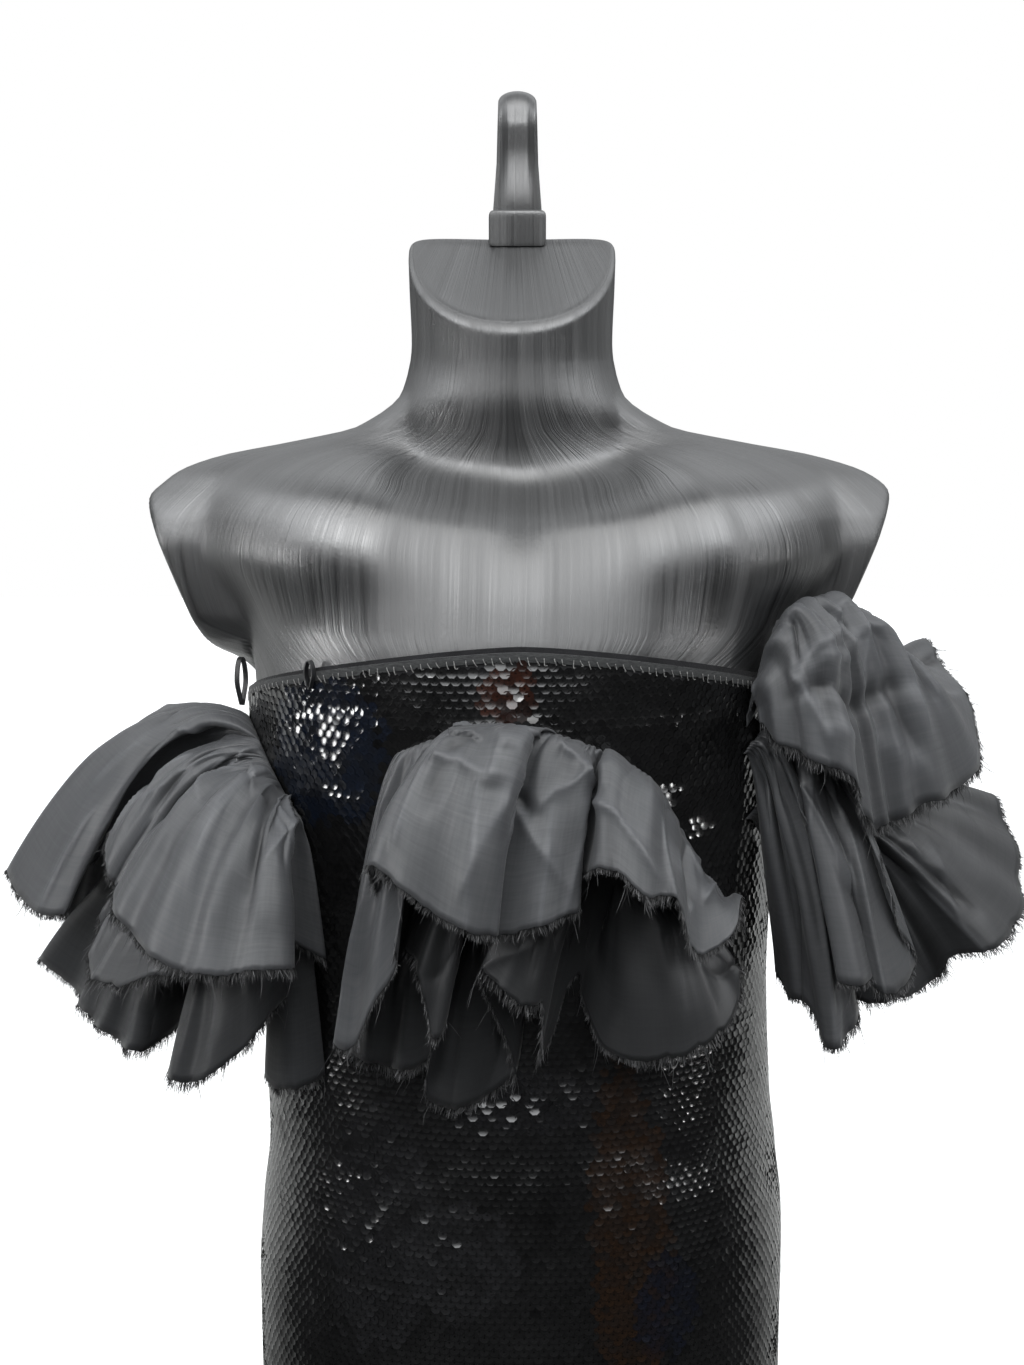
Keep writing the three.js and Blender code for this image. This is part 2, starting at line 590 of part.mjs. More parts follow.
// A cloth wall on the body between two columns. heights(share) lists where its rows pass.
function bandGeometry({ from, to, heights, inside, outside }) {
  const columns = Array.from({ length: to - from + 1 }, (_, i) => from + i);
  const face = (offset) => {
    const lines = columns.map((column) => {
      const share = (column % COLUMNS) / COLUMNS;
      const trim = column === from ? SEAM_GAP / 2 : column === to ? -SEAM_GAP / 2 : 0;
      return heights(share).map((z) => {
        const outline = new BodyOutline(z, offset);
        return outline.getPointAt(share).addScaledVector(outline.getTangentAt(share), trim);
      });
    });
    return lines[0].map((_, row) => lines.map((line) => line[row]));
  };
  return wallGeometry(face(outside), face(inside));
}

function panel(from, to) {
  const heights = (share) => {
    const shoulder = topEdge(share) - TAPE_HEIGHT;
    const step = (shoulder - HEM_HEIGHT) / (PANEL_ROWS - 1);
    const even = Array.from({ length: PANEL_ROWS }, (_, r) => HEM_HEIGHT + r * step);
    return [...even, topEdge(share)];
  };
  return bandGeometry({ from, to, heights, inside: CLOTH_IN, outside: CLOTH_OUT });
}

// The elastic tape inside the top edge. It stands a little prouder towards the right.
function tape(from, to) {
  const rise = (share) => TAPE_RISE.left + (TAPE_RISE.right - TAPE_RISE.left) * share;
  const heights = (share) => {
    const top = topEdge(share);
    return [top - TAPE_HEIGHT, top, top + rise(share)];
  };
  return bandGeometry({ from, to, heights, inside: TAPE_IN, outside: TAPE_IN + TAPE_WALL });
}

// A ribbon loop: an upright oval ring that stands just off the panel at a share of the girth.
function ribbonLoop({ share, height, wide, tall, turn, gap }) {
  const { width, thickness } = RIBBON;
  const ring = new THREE.Shape().absellipse(0, 0, wide / 2, tall / 2, 0, 2 * Math.PI, false, 0);
  const hole = new THREE.Path();
  hole.absellipse(0, 0, wide / 2 - thickness, tall / 2 - thickness, 0, 2 * Math.PI, true, 0);
  ring.holes.push(hole);
  const options = { depth: width, bevelEnabled: false, curveSegments: 10 };
  const geometry = new THREE.ExtrudeGeometry(ring, options);
  geometry.translate(0, 0, -width / 2);
  const reach = (width / 2) * Math.cos(turn) + (wide / 2) * Math.sin(turn);
  const outline = new BodyOutline(height, CLOTH_OUT + gap + reach);
  const up = new THREE.Vector3(0, 0, 1);
  const along = outline.getTangentAt(share).applyAxisAngle(up, turn);
  const place = new THREE.Matrix4().makeBasis(along, up, along.clone().cross(up));
  return geometry.applyMatrix4(place.setPosition(outline.getPointAt(share)));
}

// ---------------------------------------------------------------- the ruffles

// The middle surface of a tier, grid[row][column]. Across, the hem is a smooth curve through
// the table's rows. Down, each column is an arc that leaves the seam, springs by its lift
// over reach of the way out, and falls to the hem.
function tierSurface({ centre, seam, reach, hem }) {
  const seamLine = new THREE.QuadraticBezierCurve3(...seam.map((p) => new THREE.Vector3(...p)));
  const origin = new THREE.Vector3(...centre);
  const hemPoints = hem.map((f) => new THREE.Vector3(f.side, -f.front, -f.drop).add(origin));
  const hemLine = new THREE.CatmullRomCurve3(hemPoints, false, "centripetal");
  const seamAndLift = hem.map((f) => new THREE.Vector3(f.at, f.lift, 0));
  const springLine = new THREE.CatmullRomCurve3(seamAndLift, false, "centripetal");
  const steps = 2 * (hem.length - 1);
  const columns = Array.from({ length: steps + 1 }, (_, c) => {
    const { x: at, y: lift } = springLine.getPoint(c / steps);
    const start = clearOfBody(seamLine.getPoint(Math.min(1, Math.max(0, at))), RUFFLE_OUT, true);
    const end = hemLine.getPoint(c / steps);
    const spring = start.clone().lerp(end, reach).setZ(start.z + lift);
    return new THREE.QuadraticBezierCurve3(start, spring, end);
  });
  const pointAt = (fold, v) => {
    return v === 0 ? fold.getPoint(0) : clearOfBody(fold.getPoint(v), RUFFLE_OUT + RUFFLE_EASE);
  };
  return TIER_ROWS.map((v) => columns.map((fold) => pointAt(fold, v)));
}

// Gives a surface a wall, half its thickness to each side.
function thicken(grid, thickness) {
  const within = (i, count) => Math.min(count - 1, Math.max(0, i));
  const at = (r, c) => grid[within(r, grid.length)][within(c, grid[0].length)];
  const shifted = (sign) =>
    grid.map((row, r) =>
      row.map((p, c) => {
        const across = at(r, c + 1).clone().sub(at(r, c - 1));
        const down = at(r + 1, c).clone().sub(at(r - 1, c));
        return p.clone().addScaledVector(across.cross(down).normalize(), (sign * thickness) / 2);
      }),
    );
  return wallGeometry(shifted(1), shifted(-1));
}

// ---------------------------------------------------------------- the assembly

const dress = new THREE.Group();

function addPiece(name, geometry, look) {
  const mesh = new THREE.Mesh(geometry, look);
  mesh.name = name;
  dress.add(mesh);
}

addPiece("form_torso", formTorso(), plastic);
addPiece("form_hook", formHook(), plastic);
addPiece("front_panel", panel(SEAM_COLUMN, COLUMNS - SEAM_COLUMN), sequins);
addPiece("back_panel", panel(COLUMNS - SEAM_COLUMN, COLUMNS + SEAM_COLUMN), sequins);
addPiece("top_tape_front", tape(SEAM_COLUMN, COLUMNS - SEAM_COLUMN), velvet);
addPiece("top_tape_back", tape(COLUMNS - SEAM_COLUMN, COLUMNS + SEAM_COLUMN), velvet);
for (const [name, loop] of Object.entries(LOOPS)) {
  addPiece(name, ribbonLoop(loop), ribbon);
}
for (const [name, tier] of Object.entries(TIERS)) {
  addPiece(name, thicken(tierSurface(tier), RUFFLE_WALL), taffeta);
}

export default dress;
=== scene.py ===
"""Strapless mini dress of black sequins with three clusters of charcoal taffeta ruffles,
standing on a limbless grey plastic torso form with a moulded hook.

Lengths are in millimetres until a piece is made, where they become metres. A share is a
place round the girth, from the centre back by the wearer's right-hand side (-X) to the
centre front at one half, and on to the centre back again at one."""

import math

import bpy
import numpy as np
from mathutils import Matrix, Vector


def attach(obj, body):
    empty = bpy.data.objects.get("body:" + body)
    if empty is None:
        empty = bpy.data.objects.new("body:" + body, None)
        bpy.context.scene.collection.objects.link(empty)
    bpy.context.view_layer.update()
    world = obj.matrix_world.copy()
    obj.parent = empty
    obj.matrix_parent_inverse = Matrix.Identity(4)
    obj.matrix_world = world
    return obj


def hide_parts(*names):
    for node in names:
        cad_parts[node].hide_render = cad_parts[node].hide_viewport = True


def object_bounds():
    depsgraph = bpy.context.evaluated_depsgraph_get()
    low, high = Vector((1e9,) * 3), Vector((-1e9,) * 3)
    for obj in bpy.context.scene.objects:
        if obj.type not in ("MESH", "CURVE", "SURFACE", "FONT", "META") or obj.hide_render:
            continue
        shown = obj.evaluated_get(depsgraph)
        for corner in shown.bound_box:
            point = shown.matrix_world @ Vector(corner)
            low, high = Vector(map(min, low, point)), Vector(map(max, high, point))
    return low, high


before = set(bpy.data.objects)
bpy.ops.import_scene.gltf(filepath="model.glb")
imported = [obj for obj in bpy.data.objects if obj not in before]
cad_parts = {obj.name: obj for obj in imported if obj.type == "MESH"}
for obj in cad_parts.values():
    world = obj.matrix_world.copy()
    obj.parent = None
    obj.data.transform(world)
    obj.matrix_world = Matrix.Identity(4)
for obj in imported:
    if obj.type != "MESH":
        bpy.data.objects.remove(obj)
cad_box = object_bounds()

MM = 0.001

# ---------------------------------------------------------------- sizes

TAPE_IN, TAPE_OUT = 1.1, 2.1  # faces of the elastic tape, out from the form
CLOTH_IN, NET_OUT, SEQUIN_OUT = 2.7, 3.7, 4.1  # the sequins are sewn to a black net
RUFFLE_OUT, RUFFLE_WALL, RUFFLE_FULLNESS = 5.1, 0.7, 1.1
BINDING_OUT, BINDING_LOW, BINDING_HIGH = 4.5, 4.6, 0.1  # face, and edges from the top edge
SEQUIN_PITCH, SEQUIN_ROW, SEQUIN_RADIUS = 5.2, 3.75, 3.0
GIRTH = 785.0  # mm round the dress, which turns lengths along it into shares
HEM_HEIGHT, TOP_CENTRE, TOP_SIDE_FALL, SIDE_SHARE = 25.0, 645.0, 39.0, 0.27
LEFT_SEAM, RIGHT_SEAM = 13 / 48, 35 / 48  # shares of the two side seams
STRETCHES = {"front": (LEFT_SEAM, RIGHT_SEAM), "back": (RIGHT_SEAM, 1 + LEFT_SEAM)}
TAPE_HEIGHT, TAPE_RISE_LEFT, TAPE_RISE_RIGHT = 9.0, 1.0, 4.0
FRONT_POWER, BACK_POWER, ARM_POWER = 2.2, 5.0, 3.0
NECK_HALF, NECK_FOOT, NECK_FRONT, NECK_WIDEST = 57.5, 42.5, 46.0, 24.0
NECK_POWER, NECK_BACK_POWER = 2.2, 6.0
# The neck cap's slanted plane: its height where y is CAP_FRONT, and its rise over its run.
CAP_HEIGHT, CAP_FRONT, CAP_RISE, CAP_RUN = 811.0, -40.0, 48.0, 75.0
CAP_FILLET, CAP_DISH, CAP_MIDDLE = 5.5, 0.7, 2.0
# The planes that end the arm stubs: half width at a height, lean over tallness, softness.
STUB_HALF, STUB_HEIGHT, STUB_LEAN, STUB_TALL, STUB_ROUND = 169.0, 634.0, 34.0, 82.0, 2.5

# The form by height. width, front and back reach from its axis to the surface; arm is the
# half width over the arm stubs and depth their half thickness; shift leans it sideways.
BODY_COLUMNS = ("height", "width", "front", "back", "arm", "depth", "shift")
BODY = np.array(
    [
        (0, 147, 110, 40, 147, 0, 4), (180, 148, 111, 40, 148, 0, 4),
        (270, 148, 113, 40, 148, 0, 4), (312, 146, 112, 40, 146, 0, 5),
        (345, 142, 110, 40, 142, 0, 5), (380, 140, 106, 40, 140, 0, 3),
        (447, 139, 102, 40, 139, 0, 1), (520, 142, 111, 40, 142, 0, 0),
        (580, 143, 121, 40, 143, 0, 0), (606, 143, 121, 40, 143, 0, 0),
        (614, 143.5, 120, 40, 143.5, 4, 0), (625, 145, 119, 40, 153, 22, 1),
        (634, 146, 118, 40, 174, 34, 2), (642, 146, 117, 40, 200, 42, 3),
        (654, 147, 114, 40, 222, 48, 4), (690, 148, 101, 40, 226, 52, 5),
        (704, 148, 92, 40, 219, 50, 5), (714, 146.5, 77, 40, 210, 47, 5),
        (722, 144, 54, 40, 200, 44, 5), (730, 140, 36, 40, 188, 40, 4),
        (738, 132, 28, 40, 164, 32, 2), (746, 116, 26, 40, 122, 18, 1),
        (754, 86, 28, 40, 86, 0, 0), (773, 61, 34, 38, 61, 0, -1), (800, 56, 34, 36, 56, 0, -1),
        (830, 57, 34, 36, 57, 0, -1), (880, 58, 34, 36, 58, 0, -1),
    ]
)

# Each ruffle tier: centre; seam, three control points of the line sewn to the panel; reach,
# how far out it springs; hem, a row for each crest or valley of the hem: at, its share of
# the seam, then side, front and drop from the centre, then lift, how high it springs.
TIERS = {
    "left_flounce_upper": dict(
        centre=(-133, -50, 606),
        seam=((-145, -12, 590), (-160, -54, 612), (-116, -86, 556)),
        reach=0.45,
        hem=(
            (0.0, -30, -112, 150, 14), (0.07, -60, -136, 164, 16), (0.14, -92, -118, 168, 18),
            (0.21, -120, -130, 166, 22), (0.28, -136, -102, 148, 28), (0.35, -151, -84, 126, 34),
            (0.42, -157, -56, 106, 38), (0.48, -142, -32, 119, 40), (0.53, -116, -12, 119, 40),
            (0.57, -114, -34, 104, 36), (0.6, -98, -42, 90, 30), (0.63, -66, -38, 68, 16),
            (0.66, -86, -4, 71, 18), (0.7, -85, 10, 84, 22), (0.735, -79, 16, 95, 18),
            (0.755, -64, 8, 85, 10), (0.78, -78, 34, 96, 18), (0.82, -66, 54, 107, 22),
            (0.86, -38, 84, 118, 26), (0.9, -14, 95, 118, 26), (0.94, 8, 97, 115, 20),
            (0.965, 22, 84, 118, 12), (0.98, 8, 54, 112, 6), (1.0, 34, 42, 126, 4),
        ),
    ),
    "left_flounce_middle": dict(
        centre=(-131, -55, 577),
        seam=((-149, -36, 566), (-151, -56, 574), (-130, -76, 554)),
        reach=0.42,
        hem=(
            (0.0, -68, -28, 60, 0), (0.14, -84, -24, 70, -2), (0.28, -97, -20, 88, -2),
            (0.42, -103, -12, 108, -2), (0.54, -100, 2, 119, -2), (0.66, -83, 22, 117, -4),
            (0.78, -60, 40, 107, -6), (0.9, -34, 50, 103, -4), (1.0, -12, 50, 100, -4),
        ),
    ),
    "left_flounce_lower": dict(
        centre=(-131, -55, 577),
        seam=((-144, -20, 544), (-149, -50, 556), (-122, -80, 542)),
        reach=0.42,
        hem=(
            (0.0, -30, -118, 170, 0), (0.08, -62, -112, 176, 0), (0.17, -92, -122, 164, 2),
            (0.26, -128, -112, 140, 4), (0.34, -152, -90, 138, 6), (0.42, -128, -74, 152, 8),
            (0.49, -117, -50, 155, 6), (0.56, -101, -28, 162, 4), (0.63, -74, -12, 167, 2),
            (0.68, -48, -38, 150, 0), (0.72, -54, 22, 170, 0), (0.77, -40, 32, 168, 2),
            (0.83, -14, 42, 148, 2), (0.88, 3, 36, 128, 0), (0.91, 16, 10, 120, 0),
            (0.94, -2, 14, 172, 0), (0.97, 14, 28, 172, 0), (1.0, 30, 26, 166, 0),
        ),
    ),
    "centre_flounce_upper": dict(
        centre=(-2, -140, 610),
        seam=((-56, -122, 594), (60, -138, 638), (112, -104, 512)),
        reach=0.45,
        hem=(
            (0.0, -90, -26, 160, 4), (0.03, -84, -12, 168, 6), (0.07, -70, -2, 142, 10),
            (0.11, -56, 2, 112, 16), (0.15, -66, -10, 84, 20), (0.19, -66, 12, 65, 26),
            (0.23, -44, 28, 78, 30), (0.28, -22, 36, 90, 30), (0.32, -8, 28, 95, 22),
            (0.345, -22, 4, 92, 10), (0.37, -6, 18, 98, 12), (0.42, 14, 22, 92, 12),
            (0.47, 32, 14, 86, 10), (0.515, 31, -8, 82, 6), (0.56, 40, 12, 68, 12),
            (0.61, 50, 26, 63, 18), (0.67, 66, 26, 76, 18), (0.73, 80, 18, 78, 16),
            (0.79, 88, 8, 102, 12), (0.85, 94, 0, 114, 10), (0.92, 110, -10, 106, 6),
            (1.0, 119, -26, 92, 2),
        ),
    ),
    "centre_flounce_lower": dict(
        centre=(-2, -135, 580),
        seam=((-48, -124, 546), (30, -130, 562), (92, -112, 506)),
        reach=0.42,
        hem=(
            (0.0, -86, -34, 148, 0), (0.07, -66, -24, 152, 0), (0.13, -44, -18, 148, 0),
            (0.17, -52, -32, 96, 0), (0.22, -47, -2, 92, 2), (0.26, -37, 4, 127, 4),
            (0.3, -30, -12, 92, 2), (0.36, -42, -30, 174, 0), (0.43, -20, -22, 173, 0),
            (0.5, 0, -30, 160, 0), (0.54, -16, 0, 92, 2), (0.59, 5, 8, 108, 2),
            (0.63, 18, -2, 112, 0), (0.67, 16, -26, 148, 0), (0.71, 32, -34, 104, 0),
            (0.76, 48, -16, 140, 2), (0.82, 78, -6, 142, 2), (0.88, 98, -6, 134, 2),
            (0.94, 112, -16, 122, 0), (1.0, 119, -34, 104, 0),
        ),
    ),
    "right_flounce_upper": dict(
        centre=(144, -50, 606),
        seam=((146, -14, 596), (164, -60, 626), (128, -84, 600)),
        reach=0.46,
        hem=(
            (0.0, 34, -112, 70, 4), (0.08, 66, -124, 56, 8), (0.16, 84, -104, 6, 12),
            (0.24, 95, -86, -22, 14), (0.32, 108, -68, -4, 20), (0.4, 119, -50, 17, 44),
            (0.48, 108, -20, 42, 96), (0.56, 82, 4, 50, 128), (0.63, 58, 20, 58, 138),
            (0.68, 46, 30, 60, 138), (0.74, 37, 44, 46, 132), (0.8, 22, 60, 22, 124),
            (0.86, 6, 60, 17, 106), (0.93, -6, 50, 11, 72), (1.0, -17, 38, 2, 26),
        ),
    ),
    "right_flounce_middle": dict(
        centre=(146, -50, 575),
        seam=((152, -44, 584), (156, -62, 604), (125, -84, 586)),
        reach=0.34,
        hem=(
            (0.0, 30, 16, 28, 20), (0.1, 42, 30, 36, 22), (0.2, 52, 36, 58, 26),
            (0.29, 60, 32, 84, 28), (0.37, 68, 28, 102, 28), (0.45, 52, 48, 114, 28),
            (0.52, 40, 46, 108, 26), (0.565, 50, 18, 104, 14), (0.61, 36, 60, 104, 26),
            (0.69, 19, 60, 102, 26), (0.735, 38, 26, 112, 12), (0.78, 32, 42, 134, 20),
            (0.84, 20, 48, 143, 20), (0.9, 8, 38, 122, 18), (0.95, 0, 30, 120, 14),
            (1.0, -7, 18, 112, 8),
        ),
    ),
    "right_flounce_lower": dict(
        centre=(146, -50, 575),
        seam=((149, -20, 556), (156, -50, 568), (130, -80, 550)),
        reach=0.4,
        hem=(
            (0.0, 46, -112, 140, 0), (0.1, 90, -126, 110, 4), (0.2, 114, -108, 60, 8),
            (0.3, 134, -90, 36, 12), (0.4, 145, -76, 56, 12), (0.49, 146, -54, 80, 10),
            (0.56, 138, -28, 96, 8), (0.63, 116, -6, 106, 6), (0.69, 98, -10, 112, 4),
            (0.74, 92, -20, 128, 4), (0.8, 70, -12, 136, 2), (0.87, 50, -12, 138, 2),
            (0.94, 26, -14, 118, 0), (1.0, 6, -10, 104, 0),
        ),
    ),
}

# Folds laid in each tier: where each starts and where it ends, both as shares
# across and down; width and height in mm, below zero for a trough; edge, 2 for a soft roll,
# 1 for a pressed crease and 0 for a tuck, one of whose sides stands over the other.
FOLDS = {
    "left_flounce_upper": (
        (0.88, 0.03, 0.9, 0.45, 3, 3, 1), (0.78, 0.05, 0.78, 0.8, 3, 3.4, 1),
        (0.55, 0.02, 0.74, 0.54, 3, 2.8, 1), (0.83, 0.08, 0.845, 0.75, 3.4, -3.2, 2),
        (0.55, 0.1, 0.59, 0.72, 5, -3, 2), (0.48, 0.25, 0.56, 0.92, 5, 2.4, 2),
        (0.84, 0.1, 0.915, 0.6, 3, 2.8, 1), (0.64, 0.0, 0.68, 0.4, 3, -3, 2),
        (0.72, 0.0, 0.8, 0.34, 2.4, 3, 0),
    ),
    "left_flounce_middle": (
        (0.3, 0.1, 0.36, 0.9, 3.4, 2.6, 1), (0.66, 0.1, 0.6, 0.9, 3.4, -3, 2),
    ),
    "centre_flounce_upper": (
        (0.26, 0.53, 0.335, 0.6, 3, 3.2, 1), (0.333, 0.62, 0.336, 0.38, 3, 3.2, 1),
        (0.339, 0.28, 0.347, 0.74, 3, 3.6, 1), (0.347, 0.66, 0.325, 0.93, 3, 3, 1),
        (0.38, 0.32, 0.555, 0.92, 2.8, 2.8, 1), (0.5, 0.2, 0.6, 0.58, 2.8, 2.8, 1),
        (0.58, 0.48, 0.8, 0.96, 2.8, 2.8, 1), (0.28, 0.42, 0.277, 0.75, 3.4, -3.2, 2),
        (0.36, 0.36, 0.5, 0.66, 3, -3.4, 2), (0.253, 0.6, 0.256, 0.92, 3, 2.6, 1),
        (0.24, 0.3, 0.3, 0.42, 2.6, 3, 0), (0.34, 0.3, 0.42, 0.36, 2.6, 3, 0),
    ),
    "right_flounce_upper": (
        (0.86, 0.77, 0.55, 0.52, 4, 3.4, 1), (0.85, 0.79, 0.46, 0.6, 3, 3.2, 1),
        (0.88, 0.84, 0.48, 0.79, 3, -3.2, 2), (0.89, 0.74, 0.81, 0.95, 2.6, 2.8, 1),
        (0.82, 0.94, 0.72, 0.9, 2.6, 2.8, 1), (0.46, 0.58, 0.49, 0.9, 3, 2.8, 1),
        (0.7, 0.5, 0.56, 0.66, 4, -2.6, 2), (0.6, 0.86, 0.5, 0.95, 3, 2.6, 1),
    ),
    "right_flounce_middle": (
        (0.55, 0.36, 0.62, 0.8, 3, -3.2, 2), (0.3, 0.2, 0.34, 0.9, 3, 3, 1),
        (0.74, 0.3, 0.78, 0.95, 3, 3, 1), (0.9, 0.2, 0.88, 0.9, 3, -3, 2),
    ),
    "right_flounce_lower": (
        (0.36, 0.1, 0.3, 0.9, 4, 3, 1), (0.55, 0.1, 0.52, 0.9, 4, -3, 2),
        (0.66, 0.2, 0.7, 0.95, 3, 3, 1),
    ),
}

# Places where sequins lie differently, rubbed into a wilder tilt, and take a colour: the
# first the brown backs of flipped sequins, the rest painted reflection and painted shade.
# Share and height of the middle, half sizes in mm across and up, wildness of their tilt in
# degrees, then a colour.
RUBBED_AND_PAINTED_REFLECTIONS = (
    (0.495, 624, 16, 16, 8, (0.030, 0.010, 0.006)),
    (0.507, 612, 12, 10, 8, (0.004, 0.004, 0.004)),
    (0.50, 406, 46, 16, 11, (0.010, 0.010, 0.011)),
    (0.40, 330, 32, 70, 6, (0.012, 0.012, 0.013)),
    (0.455, 320, 34, 34, 5, (0.014, 0.014, 0.015)),
    (0.575, 330, 24, 100, 4, (0.016, 0.008, 0.004)),
    (0.60, 290, 20, 30, 4, (0.005, 0.006, 0.011)),
    (0.37, 590, 40, 40, 3, (0.006, 0.009, 0.017)),
)

# Flat places where the sequins all face one way and catch a window: share and height of
# the middle, half sizes in mm across and up, then the turn and the lift in degrees.
CAUGHT = (
    (0.388, 610, 18, 6, 3, 8), (0.367, 603, 22, 9, 0, 8), (0.372, 590, 9, 9, 1, 8),
    (0.384, 572, 15, 5, 3, 8), (0.412, 634, 14, 3.6, 10, 8), (0.60, 572, 12, 7, -5, 15),
    (0.626, 553, 10, 6, 6, 19),
)
# And the wider places round them, where the other sequins face down and stay dark.
SHADED = ((0.374, 594, 66, 52), (0.61, 600, 60, 60))
SHADED_TIP = 9  # degrees

HOOK = dict(y=29.0, foot=866.0, radius=22.0, top=940.0, tip=20.0)

# ---------------------------------------------------------------- curves and noise


def unit(vectors):
    """Vectors divided by their length, along the last axis."""
    return vectors / np.maximum(np.linalg.norm(vectors, axis=-1, keepdims=True), 1e-9)


def reading(rows, values, height):
    """Reads values against rows. Between two rows it is a cubic Hermite piece, and each
    row's slope is the harmonic mean of the steps beside it, or zero at a turning point, so
    the curve never overshoots."""
    step = np.diff(values) / np.diff(rows)
    before, after = step[:-1], step[1:]
    total = np.where(before * after > 0, before + after, 1)
    mean = np.where(before * after > 0, 2 * before * after / total, 0)
    slope = np.concatenate([[0], mean, [0]])
    i = np.clip(np.searchsorted(rows, height, "right") - 1, 0, len(rows) - 2)
    span = rows[i + 1] - rows[i]
    t = np.clip((height - rows[i]) / span, 0, 1)
    rise = 3 * t**2 - 2 * t**3
    leave = span * slope[i] * (t**3 - 2 * t**2 + t)
    arrive = span * slope[i + 1] * (t**3 - t**2)
    return values[i] * (1 - rise) + values[i + 1] * rise + leave + arrive


def column_at(name, height):
    """Reads one column of the body table at heights."""
    return reading(BODY[:, 0], BODY[:, BODY_COLUMNS.index(name)], height)


def arch(x, width, depth, power):
    """A super-ellipse: depth times the power-th root of one less |x / width| to the power."""
    return depth * np.maximum(0, 1 - (np.abs(x) / width) ** power) ** (1 / power)


def smooth_line(points, t):
    """A centripetal Catmull-Rom curve through points, read at t from 0 to 1. Each piece is
    a cubic whose end slopes come from its neighbours, spaced by the root of their gaps."""
    p = np.asarray(points, float)
    p = np.vstack([2 * p[0] - p[1], p, 2 * p[-1] - p[-2]])
    gap = np.maximum(np.linalg.norm(np.diff(p, axis=0), axis=1) ** 0.5, 1e-2)[:, None]
    along = np.clip(t, 0, 1) * (len(p) - 3)
    i = np.minimum(along.astype(int), len(p) - 4)
    w = (along - i)[:, None]
    a, b, c, d = p[i], p[i + 1], p[i + 2], p[i + 3]
    g0, g1, g2 = gap[i], gap[i + 1], gap[i + 2]
    leave = g1 * ((b - a) / g0 - (c - a) / (g0 + g1) + (c - b) / g1)
    arrive = g1 * ((c - b) / g1 - (d - b) / (g1 + g2) + (d - c) / g2)
    cube = 2 * b - 2 * c + leave + arrive
    square = -3 * b + 3 * c - 2 * leave - arrive
    return b + leave * w + square * w**2 + cube * w**3


def rolling(x, y, seed):
    """Soft noise from -1 to 1: random heights on a unit lattice joined by smooth steps."""
    lattice = np.random.default_rng(seed).uniform(-1, 1, (64, 64))
    i, j = np.floor(x).astype(int), np.floor(y).astype(int)
    f, g = x - i, y - j
    f, g = f**3 * (6 * f**2 - 15 * f + 10), g**3 * (6 * g**2 - 15 * g + 10)
    i, j, k, m = i % 64, j % 64, (i + 1) % 64, (j + 1) % 64
    low = lattice[i, j] * (1 - f) + lattice[k, j] * f
    high = lattice[i, m] * (1 - f) + lattice[k, m] * f
    return low * (1 - g) + high * g


def step_up(x, low, high):
    """Rises smoothly from 0 at low to 1 at high."""
    t = np.clip((x - low) / (high - low), 0, 1)
    return t * t * (3 - 2 * t)


# ---------------------------------------------------------------- the body's skin

SKINS = {}
SKIN_TOP, SKIN_SHARES = 900, 1440  # mm of height and steps round in a table


def collar_rise(x):
    """How much higher the collar bones' line runs than the chest's edge: it climbs to the
    shoulders and dips below the throat."""
    return 14 * step_up(np.abs(x), 25, 105) - 4 * np.exp(-((x / 22) ** 2))


def skin_table(offset, arms):
    """The body's outline at every millimetre of height, out from the form by offset, at
    equal shares of its girth. x is the half width times a sine, and y the arch of the
    front or the back over it. With arms it is the bare form: the collar bones' line shifts
    the chest up and down, the stubs join by a fourth-power sum and the neck by a third."""
    if (offset, arms) not in SKINS:
        height = np.arange(0, SKIN_TOP + 1.0)[:, None]
        s = np.linspace(-1, 1, 1201)
        angle = np.pi / 2 * (1 + np.sign(s) * np.abs(s) ** 1.6)
        angle = np.concatenate([angle, 2 * np.pi - angle[-2::-1]])
        width = column_at("width", height) + offset
        arm = np.maximum(column_at("arm", height), width) if arms else width
        depth = column_at("depth", height) if arms else 0 * width
        x = -arm * np.sin(angle)
        near = step_up(height, 664, 700) * (1 - step_up(height, 736, 762)) * arms
        spread = 24 * step_up(height, 648, 690) * (1 - step_up(height, 722, 750)) * arms
        level = height - near * collar_rise(x) if arms else height
        chest = arch(x, width + spread, column_at("front", level) + offset, FRONT_POWER)
        neck = arch(x, NECK_HALF, NECK_FOOT, NECK_POWER) * step_up(height, 690, 714) * arms
        stub = arch(x, arm, depth, ARM_POWER) * step_up(np.abs(x), 20, 120)
        front = ((chest**4 + stub**4) ** 0.75 + neck**3) ** (1 / 3)
        back = arch(x, arm, column_at("back", height) + offset, BACK_POWER)
        neck_front = arch(x, width, NECK_FRONT + NECK_WIDEST, NECK_POWER) - NECK_WIDEST
        behind = column_at("back", height) - NECK_WIDEST
        neck_back = NECK_WIDEST + arch(x, arm, behind, NECK_BACK_POWER)
        high_up = step_up(height, 752, 792)
        front = front + (neck_front - front) * high_up
        back = back + (neck_back - back) * high_up
        y = np.where(np.cos(angle) < 0, -front, back)
        run = np.cumsum(np.hypot(np.diff(x), np.diff(y)), axis=1)
        run = np.hstack([0 * height, run / run[:, -1:]])
        lane = 2 * np.arange(len(height))[:, None]
        wanted = (np.linspace(0, 1, SKIN_SHARES + 1) + lane).ravel()
        places = (run + lane).ravel()
        x = np.interp(wanted, places, (x + column_at("shift", height)).ravel())
        y = np.interp(wanted, places, y.ravel())
        SKINS[offset, arms] = np.stack([x, y], -1).reshape(len(height), SKIN_SHARES + 1, 2)
    return SKINS[offset, arms]


